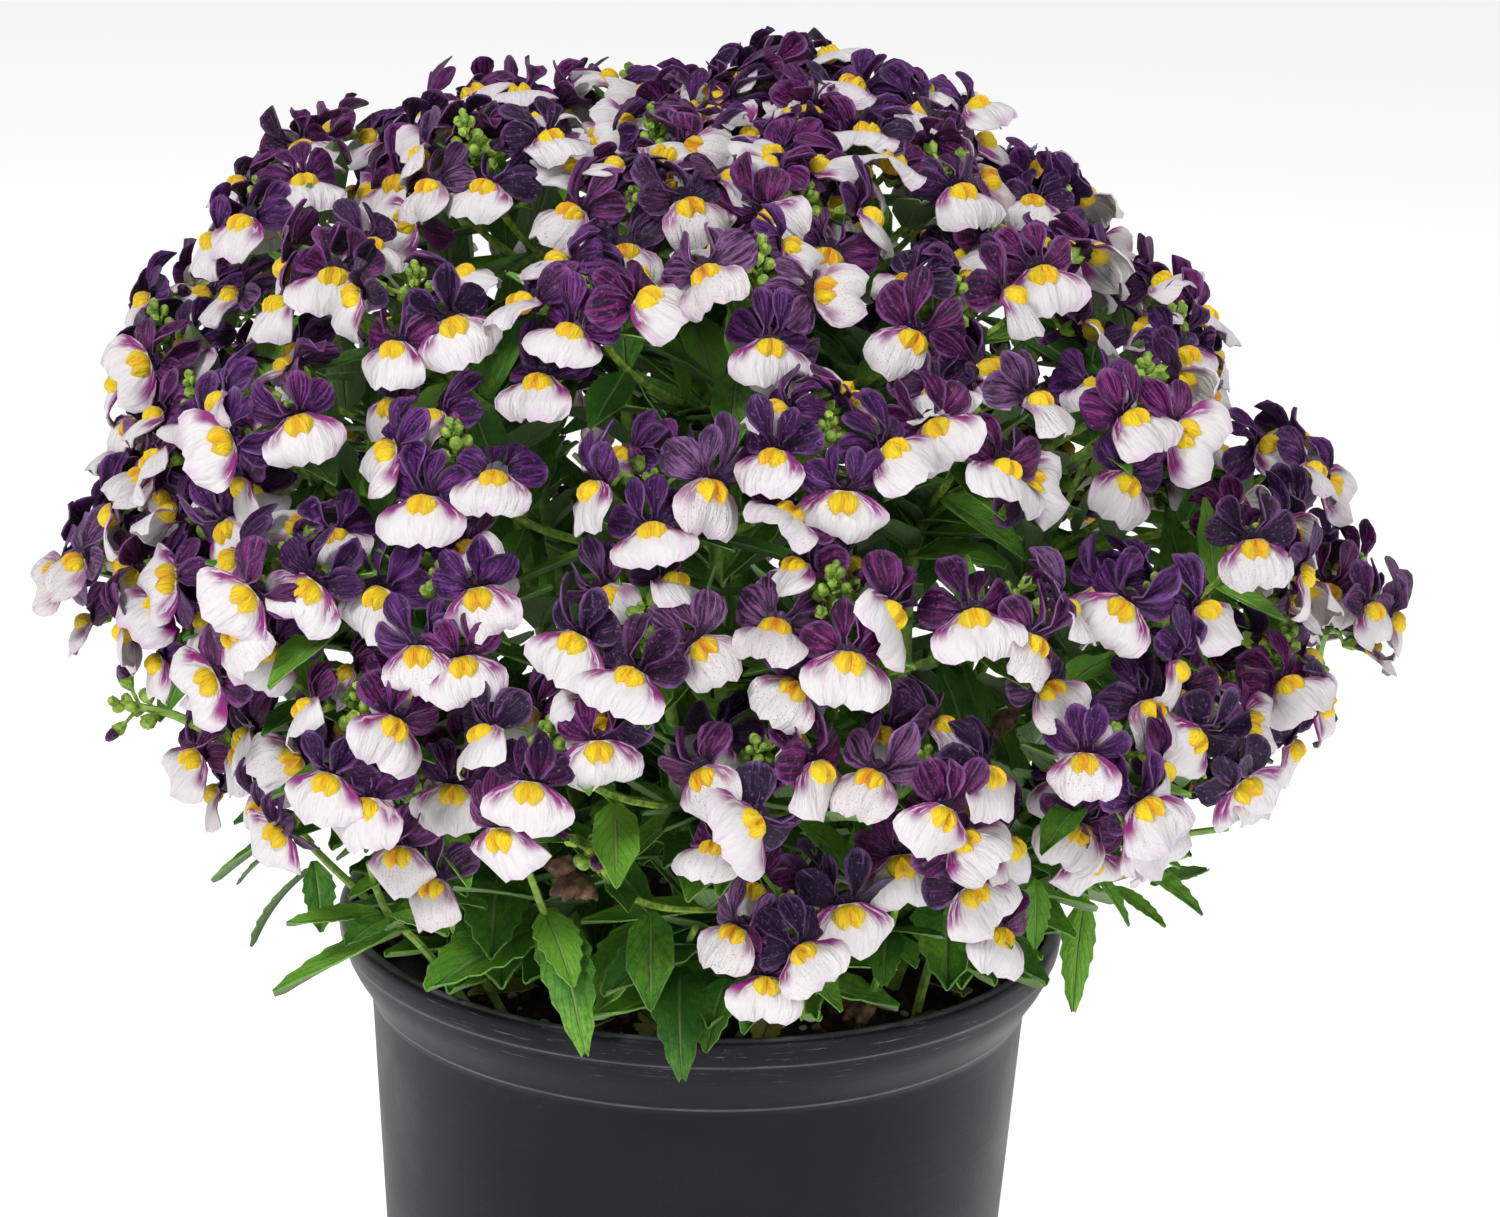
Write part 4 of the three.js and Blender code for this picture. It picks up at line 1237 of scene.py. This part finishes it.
# %% Shoots and leaves over the rim
RIM_LEAVES = [
    ((-65, -58, 179), (-94, -66, 165), 12, 0.12), ((-71, -62, 184), (-91, -69, 183), 7, 0.12),
    ((-70, -62, 183), (-77, -80, 183), 7.5, 0.12), ((-68, -62, 184), (-55, -78, 185), 9, 0.12),
    ((-90, -25, 180), (-104, -22, 159), 9, 0.3), ((-97, -20, 183), (-108, -16, 172), 6, 0.3),
    ((-93, -26, 191), (-113, -20, 174), 8, 0.12), ((-89, -28, 183), (-87, -32, 167), 8, 0.3),
    ((-64, -57, 194), (-77, -70, 190), 8, 0.12), ((-60, -60, 196), (-51, -77, 194), 8.5, 0.3),
    ((-60, -60, 188), (-47, -71, 189), 8, 0.12), ((-35, -62, 183), (-59, -85, 175), 17, 0.12),
    ((-35, -72, 192), (-54, -80, 197), 9, 0.12), ((-33, -72, 192), (-18, -79, 200), 9, 0.12),
    ((-33, -72, 190), (-24, -98, 167), 12, 0.55), ((-34, -74, 190), (-27, -93, 180), 10, 0.3),
    ((-40, -75, 202), (-53, -81, 205), 6.5, 0.12), ((-10, -60, 184), (-22, -83, 170), 16, 0.12),
    ((-4, -72, 177), (-3, -103, 164), 12, 0.55), ((-5, -60, 212), (-13, -73, 201), 11, 0.12),
    ((-22, -70, 215), (-21, -79, 207), 6, 0.3), ((-21, -60, 192), (-9, -76, 190), 8, 0.12),
    ((-38, -100, 215), (-46, -106, 215), 5, 0.3), ((-38, -100, 215), (-29, -106, 218), 5, 0.3),
    ((-38, -100, 215), (-44, -97, 219), 4, 0.12), ((-38, -100, 215), (-32, -97, 220), 4, 0.12),
    ((64, -60, 200), (76, -54, 206), 6, 0.12), ((64, -60, 198), (70, -72, 187), 9, 0.55),
    ((72, -62, 200), (84, -76, 198), 8, 0.3), ((74, -62, 196), (74, -68, 182), 6.5, 0.3),
    ((84, -62, 204), (92, -66, 217), 3.5, 0.12), ((84, -62, 201), (94, -71, 189), 4.5, 0.3),
    ((96, -60, 205), (95, -49, 214), 5, 0.12), ((95, -62, 201), (110, -71, 192), 6, 0.3),
    ((91, -62, 195), (102, -71, 189), 4.5, 0.12), ((102, -42, 188), (116, -29, 187), 8, 0.12),
    ((98, -60, 205), (107, -69, 205), 6, 0.12), ((89, -21, 177), (87, -28, 151), 8, 0.55),
    ((41, -72, 187), (40, -89, 181), 9, 0.55), ((41, -72, 187), (53, -81, 189), 7.5, 0.12),
    ((41, -72, 188), (28, -79, 196), 7, 0.12), ((41, -72, 187), (24, -85, 188), 7, 0.12),
    ((41, -72, 186), (47, -84, 183), 7, 0.3), ((69, -38, 176), (52, -64, 174), 18, 0.12),
    ((6, -80, 178), (2, -96, 167), 9, 0.3), ((30, -68, 179), (20, -82, 175), 5, 0.12),
]
SHOOTS = [
    [(-49, -44, 149), (-53, -46, 157), (-63, -55, 175), (-71, -62, 184), (-73, -68, 198)],
    [(-57, -18, 149), (-63, -18, 157), (-81, -22, 175), (-93, -26, 189), (-100, -30, 201)],
    [(-42, -46, 149), (-45, -48, 157), (-55, -55, 177), (-61, -60, 195), (-65, -66, 213)],
    [(-21, -52, 149), (-23, -55, 157), (-30, -66, 177), (-35, -74, 191), (-38, -99, 213)],
    [(-7, -54, 149), (-7, -57, 157), (-6, -66, 171), (-4, -73, 180), (-1, -84, 191)],
    [(35, -54, 149), (36, -57, 157), (40, -68, 175), (42, -73, 189), (43, -84, 202)],
    [(49, -42, 149), (50, -44, 159), (55, -52, 185), (61, -58, 197), (72, -62, 201),
     (84, -62, 203), (97, -60, 205), (108, -56, 206), (117, -50, 205)],
    [(65, -8, 149), (67, -9, 157), (79, -16, 171), (88, -20, 179), (100, -36, 189), (109, -48, 198)],
]
SPRIG_STALKS = [
    [(-90, -25, 186), (-101, -29, 200), (-112, -31, 216), (-124, -30, 235), (-132, -20, 247)],
    [(-110, -31, 213), (-118, -31, 218), (-127, -31, 220), (-134, -31, 221)],
    [(143, -2, 237), (142, 5, 228), (145, 10, 223)],
]
SPRIG_HEADS = [
    dict(at=Vector((-127, -31, 220)), axis=Vector((-0.98, -0.08, 0.17)), out=Vector((0, 0, 1)),
         buds=(7, 10.0, 2.8), opening=(0, 50, 200)),
    dict(at=Vector((144, 8, 225)), axis=Vector((0.4, 0.35, -0.85)), out=Vector((1, 0, 0)),
         buds=(3, 3.0, 1.6), opening=()),
]
SHOOT_THICK, SHOOT_THIN = 1.25, 0.75


def grow_rim():
    """The shoots, their leaves and the young bud sprigs as four pieces."""
    paths = [[Vector(point) for point in path] for path in SHOOTS + SPRIG_STALKS]
    stems = grow_tubes("rim_shoots.stems", paths, SHOOT_THICK, SHOOT_THIN)
    finish_piece(stems, STEM, [])
    heaps = {"hoods": Heap(), "greens": Heap()}
    for head in SPRIG_HEADS:
        add_buds(heaps, head, *head["buds"])
        for turn in head["opening"]:
            add_opening_bud(heaps, head, turn, 0.4)
    finish_piece(heaps["hoods"].make("rim_shoots.opening_buds"), HOOD, [])
    finish_piece(heaps["greens"].make("rim_shoots.buds"), BUD, [])
    heap = Heap()
    for root, tip, width, arch in RIM_LEAVES:
        add_leaf(heap, Vector(root), Vector(tip), width, arch, variation.uniform(-10, 10))
    finish_piece(heap.make("rim_shoots.leaves"), LEAF, [])


grow_rim()
print("rim shoots with", len(RIM_LEAVES), "leaves and", len(SPRIG_HEADS), "bud sprigs")

# %% [markdown]
# ## The pot
# A nursery pot is thin black plastic with a rolled rim, a faint step below it and drain holes in its
# floor. One profile is spun around the axis, because everything on it is round. The plastic is nearly
# black with a cool sheen. Fine rings, dust, pale scuffs on the rim and thin painted highlight lines
# along its edges keep it from looking like a flat black shape.

# %% The plastic
# Heights of the rim's edges where thin pale lines are painted: painted highlights.
HIGHLIGHT_LINE_HEIGHTS = (0.1457, 0.1585, 0.1649)
PLASTIC_DEEP = (0.0045, 0.0042, 0.0055)
PLASTIC = (0.0085, 0.008, 0.0105)
PLASTIC_DUST = (0.16, 0.14, 0.13)
PLASTIC_SCUFF = (0.3, 0.29, 0.3)
# The colour of the painted highlight lines.
PLASTIC_HIGHLIGHT_LINE = (0.13, 0.125, 0.15)


def plastic_finish():
    """Black plastic with fine rings, dust near the rim, scuffs on it and painted highlight lines along
    its edges.
    """
    finish = Finish("pot_plastic", 0.36)
    x, y, z = finish.point.parts()
    turn = y.compute("ARCTAN2", x)
    rings = (turn * 0.9).vector(0.0, z * 420.0).noise(1.0, 4.0, 0.65)
    scratches = (turn * 7.0).vector(0.0, z * 1500.0).noise(1.0, 5.0, 0.7)
    grain = finish.point.noise(900.0, 3.0)
    cloud = finish.point.noise(26.0, 4.0)
    dust = grain.spread(0.62, 0.8) * cloud.spread(0.4, 0.7)
    rise = z.spread(0.12, 0.165).spread(0, 1, 0.12, 0.4)
    scuffs = scratches.spread(0.58, 0.72) * z.spread(0.15, 0.159)
    # Thin pale lines at the three edge heights, broken by the scratch noise: painted highlights where the
    # edges catch the light.
    low, middle, high = [abs(z - height).spread(0.0, 0.0005, 1.0, 0.0) for height in HIGHLIGHT_LINE_HEIGHTS]
    painted_highlight_lines = low.most(middle).most(high) * scratches.spread(0.3, 0.65, 0.25, 0.9)
    finish.fill({
        "Base Color": layered(
            PLASTIC_DEEP,
            (cloud.spread(0.3, 0.75), PLASTIC),
            (dust * rise, PLASTIC_DUST),
            (scuffs * 0.6, PLASTIC_SCUFF),
            (painted_highlight_lines, PLASTIC_HIGHLIGHT_LINE),
        ),
        "Roughness": cloud.spread(0.3, 0.7, 0.32, 0.46) + scuffs * 0.25,
        "Specular IOR Level": 0.19, "Specular Tint": (0.88, 0.84, 1.0),
    })
    finish.bump(rings * 0.8 + grain * 0.35, 0.28, 0.0004)
    return finish.material


# %% The pot, spun from its profile
POT_PROFILE = [
    (0, 0.7), (61.8, 0.7), (63.0, 0), (67.5, 0), (68.3, 0.5), (68.6, 1.6), (71.6, 50), (74.8, 100),
    (77.2, 138), (77.6, 143.6), (77.75, 144.4), (78.2, 145.0), (78.5, 146.1), (79.5, 148.0),
    (80.9, 150.2), (82.3, 152.4), (83.6, 155.0), (84.3, 157.3), (84.55, 158.3), (84.95, 158.65),
    (85.2, 159.5), (85.6, 162.9), (85.4, 163.9), (84.8, 164.65), (83.9, 165.0), (83.0, 164.9),
    (82.3, 164.3), (81.9, 163.4), (81.3, 158.3), (80.1, 154.0), (78.4, 150.0), (77.0, 147.0),
    (76.3, 143.0), (67.2, 4.0), (66.4, 2.7), (65.2, 2.2), (0, 2.2),
]
POT_STEPS = 144
DRAIN_COUNT, DRAIN_RADIUS, DRAIN_RING = 6, 4.5, 47.0


def spin_profile(name, profile, steps):
    """A profile of radius and height turned once around the axis, closed and facing outwards."""
    mesh = bpy.data.meshes.new(name)
    points = [(radius * MM, 0.0, height * MM) for radius, height in profile]
    mesh.from_pydata(points, [(k, k + 1) for k in range(len(points) - 1)], [])
    piece = new_object(name, mesh)
    pick(piece)
    with editing():
        bpy.ops.mesh.spin(steps=steps, angle=2 * math.pi, center=(0, 0, 0), axis=(0, 0, 1))
        close_up(1e-5)
    return piece


def drill_floor(pot):
    """Cut the drain holes with a ring of cylinders."""
    for number in range(DRAIN_COUNT):
        place = polar(DRAIN_RING, number * 360 / DRAIN_COUNT, 1.0) * MM
        bpy.ops.mesh.primitive_cylinder_add(vertices=32, radius=DRAIN_RADIUS * MM, depth=8 * MM,
                                            location=place)
        drill = bpy.context.object
        pick(pot)
        apply_modifier(pot, "BOOLEAN", operation="DIFFERENCE", object=drill, solver="EXACT")
        bpy.data.objects.remove(drill)


pot = spin_profile("nursery_pot", POT_PROFILE, POT_STEPS)
drill_floor(pot)
finish_piece(pot, plastic_finish(), ["pot"], 40.0)
print("pot", face_total["nursery_pot"], "triangles")

# %% [markdown]
# ## Soil
# The soil is a plug that fills the pot to a finger's breadth below the rim, dark brown and crumbly,
# with white grains of perlite. The crumbs are real pieces, because in the shade of the leaves only
# their tops catch the light. A Displace modifier roughens the crust first.

# %% The plug
SOIL_PROFILE = [(0, 2.6), (64.9, 2.6), (66.0, 3.4), (76.2, 147.2), (77.9, 150.4), (77.7, 151.0)]
SOIL_RINGS, SOIL_STEPS, CRUST_RADIUS = 26, 110, 77.4
TOP_HEIGHT, TOP_RADIUS = 150.9, 76.5
CLUMP_SIZE, CLUMP_RELIEF = 6.0, 3.2
PEAT_DARK, PEAT, PEAT_FIBRE = (0.012, 0.008, 0.006), (0.055, 0.034, 0.022), (0.13, 0.085, 0.055)


def soil_height(radius):
    """The height of the crust over the floor at a distance from the middle."""
    return float(np.interp(radius, [0, 45, CRUST_RADIUS], [155.0, 154.0, 151.2]))


def soil_finish():
    """Moist peat: browns in two noises over a rough bump."""
    finish = Finish("potting_soil", 0.92)
    coarse = finish.point.noise(240.0, 5.0, 0.7)
    fine = finish.point.noise(1500.0, 4.0, 0.7)
    ground = layered(PEAT_DARK, (coarse.spread(0.35, 0.68), PEAT),
                     (fine.spread(0.62, 0.75, 0.0, 0.7), PEAT_FIBRE))
    finish.fill({"Base Color": ground})
    finish.bump(coarse + fine, 0.8, 0.0012)
    return finish.material


rings = [CRUST_RADIUS * (1 - number / SOIL_RINGS) for number in range(1, SOIL_RINGS + 1)]
crust = [(radius, soil_height(radius)) for radius in rings]
soil = spin_profile("soil_plug", SOIL_PROFILE + crust, SOIL_STEPS)
top = [p.index for p in soil.data.vertices
       if p.co.z > TOP_HEIGHT * MM and math.hypot(p.co.x, p.co.y) < TOP_RADIUS * MM]
soil.vertex_groups.new(name="crust").add(top, 1.0, "REPLACE")
clumps = bpy.data.textures.new("clumps", "CLOUDS")
clumps.noise_scale = CLUMP_SIZE * MM
clumps.noise_depth = 4
apply_modifier(soil, "DISPLACE", texture=clumps, strength=CLUMP_RELIEF * MM, mid_level=0.5,
               direction="Z", vertex_group="crust")
finish_piece(soil, soil_finish(), ["soil"])
print("soil", face_total["soil_plug"], "triangles")

# %% Crumbs and perlite
SPECKS = {
    "soil_crumbs": dict(count=620, sizes=(0.6, 2.2), finish="soil_crumb", rough=0.95,
                        colors=((0.014, 0.009, 0.006), (0.1, 0.064, 0.04))),
    "perlite": dict(count=130, sizes=(0.5, 1.5), finish="perlite_grain", rough=0.85,
                    colors=((0.4, 0.36, 0.32), (0.75, 0.72, 0.68))),
}


def pebble(wobble, fine):
    """A rough little lump from a sphere of triangles."""
    bpy.ops.mesh.primitive_ico_sphere_add(subdivisions=fine, radius=1)
    lump = bpy.context.object
    for point in lump.data.vertices:
        point.co *= 1 + variation.uniform(-wobble, wobble)
    return keep_template(lump)


def speck_finish(name, rough, dark, light):
    """A crumb's colour, from piece to piece a little different."""
    finish = Finish(name, rough)
    tone = finish.uv("Mood")[0]
    fine = finish.point.noise(1800.0, 3.0)
    finish.fill({"Base Color": layered(dark, (tone * 0.6 + fine * 0.5, light))})
    finish.bump(fine, 0.6, 0.0004)
    return finish.material


def scatter(name, shapes, count, sizes, finish, rough, colors):
    """Lumps strewn over the crust, half sunk in."""
    heap = Heap()
    for _ in range(count):
        radius = (CRUST_RADIUS - 1.5) * math.sqrt(variation.random())
        place = polar(radius, variation.uniform(0, 360), soil_height(radius) + 0.4)
        size = variation.uniform(*sizes)
        grid = (Matrix.Translation(place) @ turn_about("Z", variation.uniform(0, 360))
                @ turn_about("X", variation.uniform(-40, 40))
                @ Matrix.Diagonal((size, size * variation.uniform(0.6, 1), size * 0.7, 1)))
        heap.add(variation.choice(shapes), grid, (variation.random(), 0.0))
    finish_piece(heap.make(name), speck_finish(finish, rough, *colors), [])


LUMPS = [pebble(0.25, 1) for _ in range(4)]
GRAINS = [pebble(0.2, 2) for _ in range(3)]
scatter("soil_crumbs", LUMPS, **SPECKS["soil_crumbs"])
scatter("perlite", GRAINS, **SPECKS["perlite"])
print("crumbs and perlite:", {name: speck["count"] for name, speck in SPECKS.items()})

# %% [markdown]
# ## Withered bits and old leaves
# A few flowers have dried to brown scraps. Some hang on the shoots and some lie on the soil. The
# oldest leaves, at the foot of the stems, have turned yellow. They are few, but a real plant always
# has them.

# %% Scraps and yellow leaves
SCRAPS = [((-27, -86, 204), 5.5), ((60, -92, 239), 7), ((99, -52, 225), 6), ((107, -46, 213), 5),
          ((38, -60, 167), 6), ((-17, -62, 159), 5), ((27, -66, 157), 5), ((51, -52, 157), 6)]
OLD_LEAVES = [((-21, -58, 157), (-24, -77, 163), 8), ((-9, -60, 157), (-11, -79, 162), 9),
              ((-13, -50, 157), (-1, -74, 157), 8), ((55, -30, 157), (60, -48, 162), 10),
              ((17, -46, 157), (13, -68, 155), 7), ((-37, -36, 157), (-52, -48, 159), 8)]
SCRAP_PARTS = (16, 11, 5)


def grow_scraps():
    """Shrivelled petals in small knots, and the old leaves."""
    heap = Heap()
    for place, size in SCRAPS:
        for _ in range(3):
            turns = [variation.uniform(0, 360) for _ in range(3)]
            shrunk = Matrix.Diagonal((*(size / part for part in SCRAP_PARTS), 1))
            grid = (Matrix.Translation(place) @ turn_about("Z", turns[0]) @ turn_about("X", turns[1])
                    @ turn_about("Y", turns[2]) @ shrunk)
            heap.add(variation.choice(LIPS), grid)
    finish_piece(heap.make("withered_scraps"), WITHERED, [])
    leaves = Heap()
    for root, tip, width in OLD_LEAVES:
        add_leaf(leaves, Vector(root), Vector(tip), width, 0.12, variation.uniform(-25, 25), 1.0)
    finish_piece(leaves.make("old_leaves"), LEAF, [])


grow_scraps()
print(len(face_total), "pieces,", sum(face_total.values()), "triangles in all")
